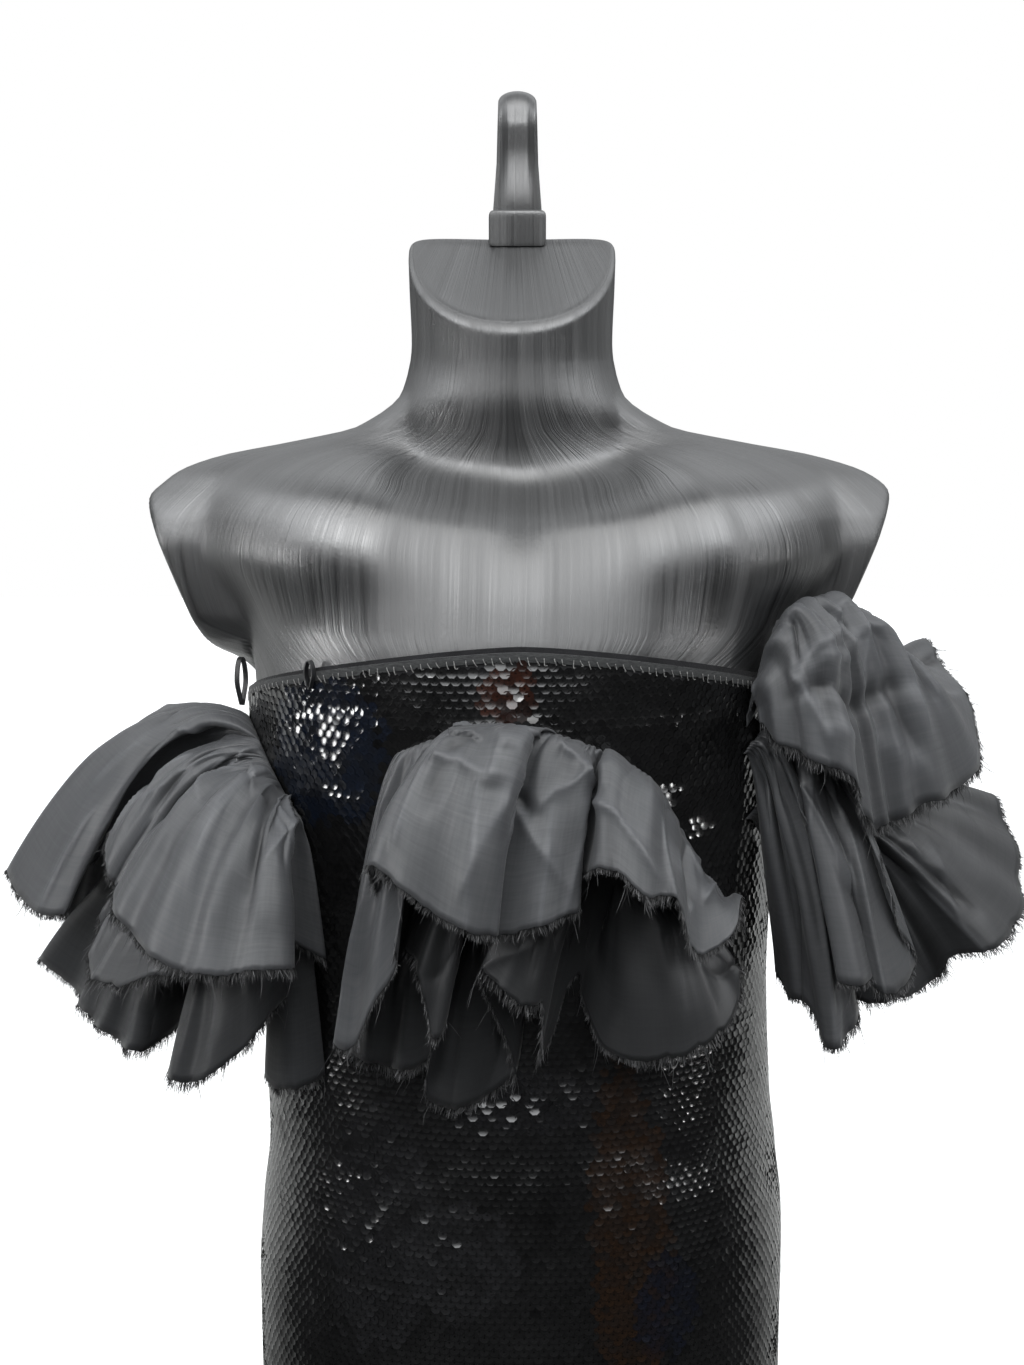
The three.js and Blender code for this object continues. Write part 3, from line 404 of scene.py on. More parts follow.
def skin(share, height, offset=0.0, arms=False):
    """Points on the body at shares and heights, read between the table's four nearest."""
    share, height = np.broadcast_arrays(share, height)
    table = skin_table(offset, arms)
    across, up = np.mod(share, 1) * SKIN_SHARES, np.clip(height, 0, SKIN_TOP - 0.01)
    i, j = np.minimum(across.astype(int), SKIN_SHARES - 1), up.astype(int)
    f, g = (across - i)[..., None], (up - j)[..., None]
    low = table[j, i] * (1 - f) + table[j, i + 1] * f
    high = table[j + 1, i] * (1 - f) + table[j + 1, i + 1] * f
    return np.concatenate([low * (1 - g) + high * g, height[..., None]], -1)


def top_edge(share):
    """Height of the dress's top edge: a power curve falling from the centre to the sides."""
    from_front = np.minimum(np.abs(share - 0.5), SIDE_SHARE) / SIDE_SHARE
    return TOP_CENTRE - TOP_SIDE_FALL * from_front**1.55


def clear_of_body(points, offset, seated=False):
    """Scales points out from the body's axis, in the plane, until they are offset from the
    form: all of them if seated, else only those that are nearer."""
    height = np.minimum(points[..., 2], 620)
    shift = column_at("shift", height)
    ahead = points[..., 1] < 0
    power = np.where(ahead, FRONT_POWER, BACK_POWER)
    depth = np.where(ahead, column_at("front", height), column_at("back", height)) + offset
    across = np.abs(points[..., 0] - shift) / (column_at("width", height) + offset)
    scale = (across**power + (np.abs(points[..., 1]) / depth) ** power) ** (1 / power)
    scale = scale if seated else np.minimum(scale, 1)
    x = shift + (points[..., 0] - shift) / scale
    return np.stack([x, points[..., 1] / scale, points[..., 2]], -1)


# ---------------------------------------------------------------- making meshes


def grid_faces(rows, columns, wrap=False, start=0):
    """Quads between neighbouring points of a grid that is numbered row by row."""
    r, c = np.meshgrid(np.arange(rows - 1), np.arange(columns - (not wrap)), indexing="ij")
    a, b = r * columns + c, r * columns + (c + 1) % columns
    return np.stack([a, b, b + columns, a + columns], -1).reshape(-1, 4) + start


def grid_normals(grid):
    """Unit cross product of the steps across and down a grid."""
    return unit(np.cross(np.gradient(grid, axis=1), np.gradient(grid, axis=0)))


def ring_fan(ring, centre, turned=False):
    """Triangles from a ring of point numbers to one point's number."""
    pair = (np.roll(ring, -1), ring) if turned else (ring, np.roll(ring, -1))
    return np.stack([*pair, np.full(len(ring), centre)], -1)


def make_piece(name, points, faces, finish, uv=None, tint=None, soft=True, crisp=None):
    """Puts arrays into a mesh: points in mm, faces a list of triangle or quad arrays, uv
    and tint one row a point. crisp keeps edges sharper than that angle hard."""
    points = np.asarray(points, float).reshape(-1, 3)
    corners = np.concatenate([f.ravel() for f in faces]).astype(np.int32)
    sizes = np.concatenate([np.full(len(f), f.shape[1]) for f in faces])
    mesh = bpy.data.meshes.new(name)
    mesh.vertices.add(len(points))
    mesh.vertices.foreach_set("co", (points * MM).astype(np.float32).ravel())
    mesh.loops.add(len(corners))
    mesh.loops.foreach_set("vertex_index", corners)
    mesh.polygons.add(len(sizes))
    starts = np.concatenate([[0], np.cumsum(sizes)[:-1]]).astype(np.int32)
    mesh.polygons.foreach_set("loop_start", starts)
    mesh.polygons.foreach_set("use_smooth", np.full(len(sizes), soft))
    if uv is not None:
        flat = np.asarray(uv, np.float32).reshape(-1, 2)[corners]
        mesh.uv_layers.new(name="flat").data.foreach_set("uv", flat.ravel())
    if tint is not None:
        colour = np.asarray(tint, np.float32).reshape(-1, 4)
        layer = mesh.color_attributes.new("tint", "FLOAT_COLOR", "POINT")
        layer.data.foreach_set("color", colour.ravel())
    mesh.update(calc_edges=True)
    mesh.validate()
    if crisp:
        mesh.set_sharp_from_angle(angle=math.radians(crisp))
    mesh.materials.append(finish)
    piece = bpy.data.objects.new(name, mesh)
    bpy.context.scene.collection.objects.link(piece)
    return piece


def settle(piece, slot, *nodes):
    """Rides a piece on the root and hides the CAD nodes that it stands for; slot is not used."""
    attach(piece, "root")
    if nodes:
        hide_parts(*nodes)
    return piece


def closed_wall(outer, inner):
    """Points and faces of a wall between two grids of one size, shut along its edges. The
    faces are turned over if the volume under them, a sum of triple products, is negative."""
    rows, columns = outer.shape[:2]
    count = rows * columns
    front = grid_faces(rows, columns)
    index = np.arange(count).reshape(rows, columns)
    rim = np.concatenate([index[0, :], index[1:, -1], index[-1, -2::-1], index[-2:0:-1, 0]])
    after = np.roll(rim, -1)
    edge = np.stack([rim, rim + count, after + count, after], -1)
    points = np.concatenate([outer.reshape(-1, 3), inner.reshape(-1, 3)])
    faces = np.concatenate([front, front[:, ::-1] + count, edge])
    a, b, c, d = (points[faces[:, corner]] for corner in range(4))
    volume = (a * np.cross(b, c)).sum() + (a * np.cross(c, d)).sum()
    return points, [faces if volume > 0 else faces[:, ::-1]]


def tube(paths, radius, sides=4):
    """Closed tubes along paths[n, step, xyz]: rings of the given radius square to the path."""
    count, steps = paths.shape[:2]
    ahead = unit(np.gradient(paths, axis=1))
    aside = unit(np.cross(ahead, np.array([0.31, 0.22, 0.92])))
    upward = np.cross(ahead, aside)
    turn = 2 * np.pi * np.arange(sides)[:, None] / sides
    ring = aside[:, :, None] * np.cos(turn) + upward[:, :, None] * np.sin(turn)
    points = paths[:, :, None] + radius * ring
    start = np.arange(count)[:, None] * steps * sides
    many = (grid_faces(steps, sides, wrap=True)[None] + start[:, None]).reshape(-1, 4)
    caps = [start + np.arange(sides)[::-1], start + (steps - 1) * sides + np.arange(sides)]
    return points.reshape(-1, 3), [many, *caps]


# ---------------------------------------------------------------- finishes


class Nodes:
    """A node tree, filled one node at a time from plain calls."""

    def __init__(self, tree):
        self.nodes, self.links = tree.nodes, tree.links

    def add(self, kind, inputs=None, **settings):
        """Adds a node, sets its settings, and joins or sets each of its inputs."""
        node = self.nodes.new(kind)
        for key, value in settings.items():
            setattr(node, key, value)
        for key, value in (inputs or {}).items():
            self.join(node, key, value)
        return node

    def join(self, node, key, value):
        """Links a socket to an input, or gives the input a plain value."""
        if isinstance(value, bpy.types.NodeSocket):
            self.links.new(value, node.inputs[key])
        else:
            node.inputs[key].default_value = value

    def ramp(self, value, low, high, to_low=0.0, to_high=1.0, **settings):
        """Maps a value from low..high to to_low..to_high, and holds it there."""
        wanted = {0: value, 1: low, 2: high, 3: to_low, 4: to_high}
        return self.add("ShaderNodeMapRange", wanted, **settings).outputs[0]

    def maths(self, operation, a, b=0.0):
        return self.add("ShaderNodeMath", {0: a, 1: b}, operation=operation).outputs[0]

    def plus(self, a, b):
        return self.maths("ADD", a, b)

    def times(self, a, b):
        return self.maths("MULTIPLY", a, b)


class Finish(Nodes):
    """A material, its main surface and the textures that go into it."""

    def __init__(self, name):
        self.material = bpy.data.materials.new(name)
        self.material.use_nodes = True
        super().__init__(self.material.node_tree)
        self.surface = self.nodes["Principled BSDF"]

    def set(self, **values):
        """Sets or joins the surface's own sockets; an underscore stands for a space."""
        for key, value in values.items():
            self.join(self.surface, key.replace("_", " "), value)

    def flat(self):
        """Where a point lies on its flat cut, in metres."""
        return self.add("ShaderNodeUVMap", uv_map="flat").outputs[0]

    def place(self):
        """Where a point lies in space, in metres."""
        return self.add("ShaderNodeTexCoord").outputs["Object"]

    def stretched(self, source, scale):
        """A coordinate scaled along each axis."""
        return self.add("ShaderNodeMapping", {"Vector": source, "Scale": scale}).outputs[0]

    def noise(self, vector, scale, detail=3.0, roughness=0.55, distortion=0.0):
        wanted = {"Vector": vector, "Scale": scale, "Detail": detail}
        wanted.update({"Roughness": roughness, "Distortion": distortion})
        return self.add("ShaderNodeTexNoise", wanted).outputs[0]

    def blend(self, factor, a, b, kind="MIX"):
        wanted = {0: factor, 6: a, 7: b}
        return self.add("ShaderNodeMix", wanted, data_type="RGBA", blend_type=kind).outputs[2]

    def shades(self, value, low, high, dark, light):
        """A dark colour where a value is low, going over to a light one where it is high."""
        return self.blend(self.ramp(value, low, high), (*dark, 1.0), (*light, 1.0))

    def tinted(self, shade):
        """The piece's tint times a shade; on the ruffles the tint holds painted highlight and
        painted shade, and on the sequins painted reflection in places.
        """
        tint = self.add("ShaderNodeVertexColor", layer_name="tint").outputs["Color"]
        return self.blend(1.0, tint, shade, "MULTIPLY")

    def bump(self, height, strength, distance, normal=None):
        wanted = {"Height": height, "Strength": strength, "Distance": distance}
        if normal is not None:
            wanted["Normal"] = normal
        return self.add("ShaderNodeBump", wanted).outputs[0]


def streaked_plastic():
    """Dark grey moulded plastic with flow streaks from neck to base, fine grain, scratches."""
    f = Finish("streaked_plastic")
    uv, place = f.flat(), f.place()
    broad = f.noise(f.stretched(uv, (1, 0.012, 1)), 26, 3, 0.6)
    fine = f.noise(f.stretched(uv, (1, 0.006, 1)), 210, 4, 0.7)
    hair = f.noise(f.stretched(uv, (1, 0.004, 1)), 640, 2, 0.6)
    grain = f.noise(place, 420, 2, 0.6)
    patch = f.ramp(f.noise(place, 9, 2), 0.38, 0.62)
    streak = f.plus(f.times(fine, 0.6), f.times(hair, 0.4))
    f.set(Base_Color=f.shades(streak, 0.35, 0.68, (0.002, 0.0022, 0.0025), (0.034, 0.035, 0.036)))
    f.set(Roughness=f.ramp(f.plus(broad, f.times(fine, 0.5)), 0.58, 0.92, 0.30, 0.56))
    f.set(IOR=1.8, Specular_IOR_Level=1.0)
    scratch_lines = f.noise(f.stretched(place, (3.0, 1.0, 0.35)), 60, 2, 0.5, 1.4)
    scratch = f.times(f.ramp(scratch_lines, 0.70, 0.74), f.ramp(patch, 0.5, 0.9))
    lines = f.bump(f.plus(streak, f.times(broad, 0.8)), 0.5, 0.0013)
    grainy = f.bump(grain, f.ramp(patch, 0, 1, 0.05, 0.16), 0.0006, lines)
    f.set(Normal=f.bump(scratch, 0.25, 0.0004, grainy))
    return f.material


def taffeta():
    """Charcoal taffeta: crosswise ribs, faint slubs, a low sheen, times a tint of painted
    highlight on pressed ridges and painted shade in troughs and on the lower tiers.
    """
    f = Finish("charcoal_taffeta")
    uv = f.flat()
    ribs = f.noise(f.stretched(uv, (40, 900, 1)), 1, 3, 0.7)
    slubs = f.noise(f.stretched(uv, (18, 260, 1)), 1, 4, 0.6)
    cross = f.noise(f.stretched(uv, (620, 60, 1)), 1, 2, 0.6)
    cloud = f.noise(uv, 14, 3, 0.6)
    weave = f.plus(f.times(ribs, 0.6), f.times(cross, 0.4))
    base = f.shades(weave, 0.36, 0.66, (0.064, 0.066, 0.070), (0.092, 0.094, 0.098))
    base = f.blend(f.ramp(slubs, 0.55, 0.75, 0, 0.14), base, (0.18, 0.18, 0.185, 1))
    base = f.blend(f.ramp(cloud, 0.35, 0.7, 0, 0.35), base, (0.060, 0.064, 0.072, 1))
    f.set(Base_Color=f.tinted(base), Roughness=f.ramp(weave, 0.3, 0.7, 0.52, 0.38))
    f.set(Specular_IOR_Level=0.5, Sheen_Weight=0.10, Sheen_Roughness=0.4)
    f.set(Normal=f.bump(weave, 0.16, 0.0003, f.bump(slubs, 0.08, 0.0006)))
    return f.material


def fray():
    """Loose taffeta threads, dark at the cloth and lighter towards the tip."""
    f = Finish("frayed_thread")
    mottle = f.ramp(f.noise(f.place(), 300, 2), 0.3, 0.7, 0.6, 1.0)
    f.set(Base_Color=f.tinted(mottle), Roughness=0.6, Specular_IOR_Level=0.3)
    return f.material


def sequin_foil():
    """Glossy black sequins: a dark thread hole, a thin darker rim, and a tint, painted reflection
    in places.
    """
    f = Finish("black_sequins")
    from_middle = f.add("ShaderNodeVectorMath", {0: f.flat()}, operation="LENGTH").outputs["Value"]
    hole, rim = f.ramp(from_middle, 0.13, 0.19), f.ramp(from_middle, 0.84, 0.98, 1.0, 0.45)
    f.set(Base_Color=f.tinted(f.times(hole, rim)), IOR=1.6, Specular_IOR_Level=0.8)
    place = f.place()
    f.set(Roughness=f.ramp(f.noise(place, 40, 2), 0.35, 0.65, 0.10, 0.2))
    f.set(Normal=f.bump(f.noise(place, 260, 2, 0.5), 0.10, 0.0006))
    return f.material


def threaded(name, scale, grain, dark, light, relief, placed=False, **surface):
    """A finish of fine threads: noise, stretched by scale over the flat cut or placed in
    space, shades it from dark to light and raises it by a strength over a distance."""
    f = Finish(name)
    threads = f.noise(f.stretched(f.place() if placed else f.flat(), scale), 1, *grain)
    f.set(Base_Color=f.shades(threads, 0.3, 0.7, dark, light))
    f.set(Normal=f.bump(threads, *relief), **surface)
    return f.material


def velvet():
    """Black velvet elastic: deep black pile with a soft edge sheen and brushed patches."""
    f = Finish("black_velvet")
    uv = f.flat()
    pile = f.noise(f.stretched(uv, (900, 900, 1)), 1, 2, 0.7)
    brushed = f.noise(uv, 60, 2)
    f.set(Base_Color=f.shades(brushed, 0.35, 0.7, (0.003, 0.003, 0.004), (0.012, 0.012, 0.014)))
    f.set(Roughness=0.95, Sheen_Weight=0.25, Sheen_Roughness=0.4)
    f.set(Normal=f.bump(pile, 0.6, 0.0006))
    return f.material


PLASTIC, TAFFETA, FRAY, FOIL = streaked_plastic(), taffeta(), fray(), sequin_foil()
NET = threaded(
    "black_net", (500, 700, 1), (2, 0.6),
    (0.004, 0.004, 0.005), (0.014, 0.014, 0.016), (0.4, 0.0005), Roughness=0.85,
)
VELVET = velvet()
BINDING = threaded(
    "grey_binding", (300, 900, 1), (4, 0.7),
    (0.008, 0.009, 0.010), (0.050, 0.052, 0.052), (0.5, 0.0008), Roughness=0.85, Sheen_Weight=0.2,
)
STITCH = threaded(
    "grey_stitches", (900, 900, 900), (2, 0.6),
    (0.08, 0.08, 0.08), (0.34, 0.34, 0.33), (0.3, 0.0003), placed=True, Roughness=0.5,
)
RIBBON = threaded(
    "black_ribbon", (1400, 40, 1), (2, 0.6),
    (0.006, 0.006, 0.007), (0.035, 0.036, 0.038), (0.3, 0.0003),
    Roughness=0.38, Specular_IOR_Level=0.6,
)

# ---------------------------------------------------------------- the form


def neck_plane(y):
    """Height of the slanted neck cap, which runs straight from front to back."""
    return CAP_HEIGHT + (y - CAP_FRONT) * CAP_RISE / CAP_RUN


def collar_bone(points):
    """How far the skin stands out in mm at points along the collar bones: a low soft ridge
    on their line, and between them a small pit."""
    x, z = points[..., 0] - 3, points[..., 2]
    above = z - 708 - collar_rise(x)
    fade = step_up(-points[..., 1], 5, 36)
    beside = step_up(np.abs(x), 4, 16) * (1 - step_up(np.abs(x), 90, 180))
    ridge = np.exp(-((above / 9) ** 2)) * beside
    pit = np.exp(-((x / 9) ** 2)) * np.exp(-(((above - 6) / 14) ** 2))
    return 1.2 * fade * (ridge - pit)


def torso_form():
    """A grid of shares by heights on the body's skin with its arm stubs. The stubs' ends
    are pressed against slanted planes by a soft limit, the neck stops at its slanted cap,
    and the cap's rim is a quarter round that runs in to a slightly dished face."""
    columns, foot = 300, 786
    share = np.arange(columns) / columns
    low = [np.arange(0, 600, 24), np.arange(600, 762, 2.4), np.arange(762, foot, 4)]
    wall = skin(share, np.concatenate(low)[:, None], 0.0, True)
    rim_z = np.full(columns, 830.0)
    for _ in range(5):
        rim_z = neck_plane(skin(share, rim_z, 0.0, True)[..., 1])
    rise = np.linspace(0, 1, 14)[1:, None]
    neck = skin(share, foot + rise * (rim_z - CAP_FILLET - foot), 0.0, True)
    rim = skin(share, rim_z, 0.0, True)
    middle = np.array([rim[:, 0].mean(), CAP_MIDDLE])
    inward = middle - rim[:, :2]
    reach = np.linalg.norm(inward, axis=1, keepdims=True)
    turn = np.linspace(0, np.pi / 2, 9)[1:, None, None]
    edge_xy = rim[:, :2] + inward / reach * (CAP_FILLET * (1 - np.cos(turn)))
    edge_z = neck_plane(edge_xy[..., 1:]) - CAP_FILLET * (1 - np.sin(turn))
    part = np.linspace(1, 0.02, 14)[1:, None, None]
    face_xy = middle + (edge_xy[-1] - middle) * part
    face_z = neck_plane(face_xy[..., 1:]) - CAP_DISH * step_up((1 - part) * reach, 0.5, 6)
    edge, face = np.concatenate([edge_xy, edge_z], -1), np.concatenate([face_xy, face_z], -1)
    grid = np.concatenate([wall, neck, edge, face])
    grid[..., 1] -= collar_bone(grid) * (grid[..., 2] < 765)
    for side in (-1, 1):
        height = grid[..., 2]
        limit = side * 2 + STUB_HALF + (height - STUB_HEIGHT) * STUB_LEAN / STUB_TALL
        over = np.clip((side * grid[..., 0] - limit) / STUB_ROUND, -20, 60)
        pressed = limit + STUB_ROUND * over - STUB_ROUND * np.log1p(np.exp(over))
        arm = (height > 614) & (height < 756) & (over > -19)
        grid[..., 0] = np.where(arm, side * pressed, grid[..., 0])
    rows = len(grid)
    centres = [[*middle, neck_plane(CAP_MIDDLE) - CAP_DISH], [4, -35, 0]]
    points = np.concatenate([grid.reshape(-1, 3), centres])
    ring, top = np.arange(columns), rows * columns
    caps = [ring_fan(top - columns + ring, top), ring_fan(ring, top + 1, turned=True)]
    uv = np.stack([np.broadcast_to(share, (rows, columns)), grid[..., 2] * MM], -1)
    # From the fillet on, the streaks fan out over the cap from a far point behind it.
    flat, far = len(wall) + len(neck) + 5, 190
    spread = np.arctan2(grid[flat:, :, 0] - middle[0], far - grid[flat:, :, 1])
    uv[flat:, :, 0] = 0.5 - spread * far / 330
    uv = np.concatenate([uv.reshape(-1, 2), [[0.5, 0.83], [0.5, 0]]])
    faces = [grid_faces(rows, columns, True), *caps]
    return make_piece("torso_form", points, faces, PLASTIC, uv)


def squared(wave, power=0.22):
    """A sine or cosine pushed towards one, which makes a round thing into a block."""
    return np.sign(wave) * np.abs(wave) ** power


def hook_path():
    """The hook's middle line as y and z: straight up, over a half circle and down."""
    y, radius, turn = HOOK["y"], HOOK["radius"], HOOK["top"] - HOOK["radius"]
    up = np.stack([np.full(40, y), np.linspace(HOOK["foot"] - 8, turn, 40)], -1)
    angle = np.linspace(np.pi, 0, 40)[1:]
    over = np.stack([y + radius * (1 + np.cos(angle)), turn + radius * np.sin(angle)], -1)
    far = y + 2 * radius
    down_y, down_z = np.linspace(far, far + 1.6, 12), np.linspace(turn, turn - HOOK["tip"], 12)
    return np.concatenate([up, over, np.stack([down_y, down_z], -1)[1:]])


def form_hook():
    """A channel section carried along the hook's path. Across, its face is sunk between two
    round rims; the sink fades out at the foot in a scoop and over the crown in a dome, and
    the strip narrows towards its tip. It stands on a small rounded block."""
    path = hook_path()
    run = np.concatenate([[0], np.cumsum(np.linalg.norm(np.diff(path, axis=0), axis=1))])
    ahead = unit(np.gradient(path, axis=0))
    inward = np.stack([ahead[:, 1], -ahead[:, 0]], -1)
    widths = [14, 13.6, 11.6, 10.8, 10.4, 9.4, 6.5]
    half = np.interp(run, [0, 14, 40, 70, 128, run[-1] - 8, run[-1]], widths)
    across = np.concatenate([np.linspace(-1, 1, 29), np.linspace(1, -1, 15)])
    outer = np.arange(len(across)) < 29
    edge = 1 - np.abs(across)
    sink = np.where(outer, 4.6 * step_up(edge, 0.08, 0.6), 8.4 - 1.6 * step_up(-edge, -0.3, 0))
    sink = np.where(outer, sink + 1.8 * (1 - step_up(edge, 0, 0.12)), sink)
    scoop = step_up(run, 16, 50)[:, None]
    crown = (step_up(run, 66, 86) * (1 - step_up(run, 104, 124)))[:, None]
    dome = 6.0 * (1 - np.sqrt(np.maximum(1 - 0.98 * across**2, 0)))
    sunk = np.where(outer, sink * (0.15 + 0.85 * scoop) * (1 - crown) + dome * crown, sink)
    place = path[:, None, :] + inward[:, None, :] * sunk[..., None]
    grid = np.concatenate([(2 + half[:, None] * across)[..., None], place], -1)
    rows, columns = grid.shape[:2]
    strip = grid.reshape(-1, 3)
    ends = np.array([strip[:columns].mean(0), strip[-columns:].mean(0)])
    ring, top = np.arange(columns), rows * columns
    caps = [ring_fan(ring, top, turned=True), ring_fan(top - columns + ring, top + 1)]
    up, about = np.linspace(-1, 1, 28) * np.pi / 2, np.linspace(-1, 1, 57)[:-1] * np.pi
    up, about = np.meshgrid(up, about, indexing="ij")
    flat = squared(np.cos(up))
    block = [flat * squared(np.cos(about)), flat * squared(np.sin(about)), squared(np.sin(up))]
    block = np.stack(block, -1) * [16, 7, 11] + [2, 32.2, 862]
    block[..., 2] = np.maximum(block[..., 2], neck_plane(block[..., 1]) + 0.2)
    points = np.concatenate([strip, ends, block.reshape(-1, 3)])
    faces = [*caps, grid_faces(rows, columns, True), grid_faces(28, 56, True, top + 2)]
    uv = np.stack([points[:, 0] / 300, points[:, 2] * MM], -1)
    return make_piece("form_hook_fine", points, faces, PLASTIC, uv, crisp=50)


settle(torso_form(), "plastic", "form_torso")
settle(form_hook(), "plastic", "form_hook")

# ---------------------------------------------------------------- the panels and sequins


def band(name, share, low, high, inner, outer, finish, rows=8, swell=0.25, crisp=70):
    """A thin wall on the body over shares, between the heights low and high, whose outer
    face swells half-way up by a share of its thickness."""
    rise = np.linspace(0, 1, rows)[:, None]
    height = low + rise * (high - low)
    share = np.broadcast_to(share, height.shape)
    face, back = skin(share, height, outer), skin(share, height, inner)
    bulge = swell * np.sin(np.pi * rise)[..., None]
    points, faces = closed_wall(face + (face - back) * bulge, back)
    uv = np.stack([share * (GIRTH * MM), height * MM], -1)
    return make_piece(name, points, faces, finish, np.concatenate([uv, uv]), crisp=crisp)


def sequin_places(first, last, rng):
    """Shares and heights of rows of sequins, every other row half a pitch along and each
    sequin moved a little at random. None lies on the top edge or over a seam."""
    count = int(round((last - first) * GIRTH / SEQUIN_PITCH))
    rows = np.arange(HEM_HEIGHT + 2.4, TOP_CENTRE, SEQUIN_ROW)
    stagger = 0.5 * (np.arange(len(rows)) % 2)[:, None]
    share = first + (np.arange(count) + 0.25 + stagger) / count * (last - first)
    height = np.broadcast_to(rows[:, None], share.shape)
    keep = (height < top_edge(share % 1) - 5.5) & (share < last - 0.0006)
    share, height = share[keep], height[keep]
    share = share + rng.normal(0, 0.10, len(share)) / GIRTH
    return share, height + rng.normal(0, 0.12, len(height))


def sequin_tilts(x, height, rng):
    """Each sequin's turn and tip in radians, and its colour: soft noise and a random part,
    then the rubbed places, whose colours are partly painted reflection and painted shade,
    and the shaded and caught places, each an oval that fades at its edge."""
    count = len(x)

    def off_centre(share, level, wide, tall):
        """Squared distance from an oval's middle, in its half sizes."""
        return ((x - (share - 0.5) * GIRTH) / wide) ** 2 + ((height - level) / tall) ** 2

    calm = rolling(x / 34, height / 26, 11) * 3 + rng.normal(0, 1.4, count)
    tip = 4 + rolling(x / 30, height / 22, 12) * 2 + rng.normal(0, 1.2, count)
    shade = 0.007 + 0.002 * rolling(x / 60, height / 50, 13) + rng.normal(0, 0.001, count)
    colour = np.stack([shade, shade, shade * 1.03], -1)
    for *oval, wild, tone_and_painted_reflection in RUBBED_AND_PAINTED_REFLECTIONS:
        near = np.exp(-(off_centre(*oval) ** 1.5)) * rng.uniform(0.5, 1, count)
        calm = calm + near * rng.normal(0, wild, count)
        tip = tip + near * rng.normal(0, wild, count)
        # Mixes in the place's colour: painted reflection and painted shade, save the brown backs.
        mix = (near > 0.3)[:, None] * rng.uniform(0.3, 1, (count, 1))
        colour = colour * (1 - mix) + mix * np.array(tone_and_painted_reflection)
    for oval in SHADED:
        tip = tip - SHADED_TIP * np.exp(-(off_centre(*oval) ** 2))
    for *oval, turn, lift in CAUGHT:
        near = np.exp(-(off_centre(*oval) ** 3))
        near = near * (rolling(x / 11, height / 5, 17) > -0.16) * (rng.uniform(0, 1, count) < 0.9)
        from_middle = x - (oval[0] - 0.5) * GIRTH
        calm = calm + near * (turn + 0.35 * from_middle + rng.normal(0, 2, count) - calm)
        tip = tip + near * (lift + rng.normal(0, 2, count) - tip)
    return np.radians(calm)[:, None], np.radians(tip)[:, None], colour


def sequin_field(name, first, last, seed):
    """Eight-sided cups on the body. Each lies in the skin's plane with its lower edge
    tipped out over the row below, then is turned a little about its upright line."""
    rng = np.random.default_rng(seed)
    share, height = sequin_places(first, last, rng)
    at = skin(share, height, SEQUIN_OUT)
    beside = [skin(share + step, height, SEQUIN_OUT) for step in (0.002, -0.002)]
    above = [skin(share, height + step, SEQUIN_OUT) for step in (3, -3)]
    along = unit(beside[0] - beside[1])
    out = unit(np.cross(along, above[0] - above[1]))
    upward = np.cross(out, along)
    calm, tip, colour = sequin_tilts((share - 0.5) * GIRTH, height, rng)
    side = along * np.cos(calm) + out * np.sin(calm)
    rise = upward * np.cos(tip) - np.cross(side, upward) * np.sin(tip)
    face = np.cross(side, rise)
    turn = 2 * np.pi * (np.arange(8) + 0.5) / 8
    ring = np.stack([np.cos(turn), np.sin(turn)], -1)
    rim = side[:, None] * ring[:, :1] + rise[:, None] * ring[:, 1:]
    rim = at[:, None] + SEQUIN_RADIUS * rim + 0.25 * face[:, None] + 0.35 * out[:, None]
    points = np.concatenate([(at + 0.1 * out)[:, None], rim], 1)
    spokes = np.roll(ring_fan(1 + np.arange(8), 0), 1, axis=1)
    faces = (spokes[None] + (9 * np.arange(len(at)))[:, None, None]).reshape(-1, 3)
    uv = np.broadcast_to(np.concatenate([[[0, 0]], ring]), (len(at), 9, 2))
    tint = np.concatenate([colour, np.ones((len(at), 1))], -1)
    tint = np.broadcast_to(tint[:, None], (len(at), 9, 4))
    return make_piece(name, points, [faces], FOIL, uv, tint)


nets, sequins, bindings, stitches = {}, {}, {}, {}
for side, ends in STRETCHES.items():
    share = np.linspace(*ends, 110)
    top = top_edge(share % 1) - 0.5
    net = band(side + "_net", share, HEM_HEIGHT, top, CLOTH_IN, NET_OUT, NET, 90, 0, 60)
    nets[side] = settle(net, "sequins", side + "_panel")
for seed, (side, ends) in zip((3, 5), STRETCHES.items()):
    sequins[side] = settle(sequin_field(side + "_sequins", *ends, seed), "sequins")


# ---------------------------------------------------------------- the top edge


def zigzag(name, first, last, seed, pitch=4.3):
    """Overlock stitches: small hooked loops of thread that hang from under the top edge,
    each a short path that leans along and curls back, with its own lean and length."""
    rng = np.random.default_rng(seed)
    count = int((last - first) * GIRTH / pitch)
    share = first + (np.arange(count) + 0.5) / count * (last - first)
    share = share + rng.normal(0, 0.4, count) / GIRTH
    step = np.linspace(0, 1, 9)
    lean = rng.uniform(0.9, 2.6, count)[:, None]
    fall = rng.uniform(2.6, 4.2, count)[:, None]
    curl = rng.uniform(-0.6, 1.4, count)[:, None]
    along = lean * (step - 0.5) + curl * np.sin(np.pi * step**1.5)
    down = 2.2 + fall * np.sin(np.pi * 0.62 * step) / np.sin(np.pi * 0.62 * 0.8)
    places = share[:, None] + along / GIRTH
    paths = skin(places, top_edge(places % 1) - down, 5.0)
    return make_piece(name, *tube(paths, 0.24), STITCH)


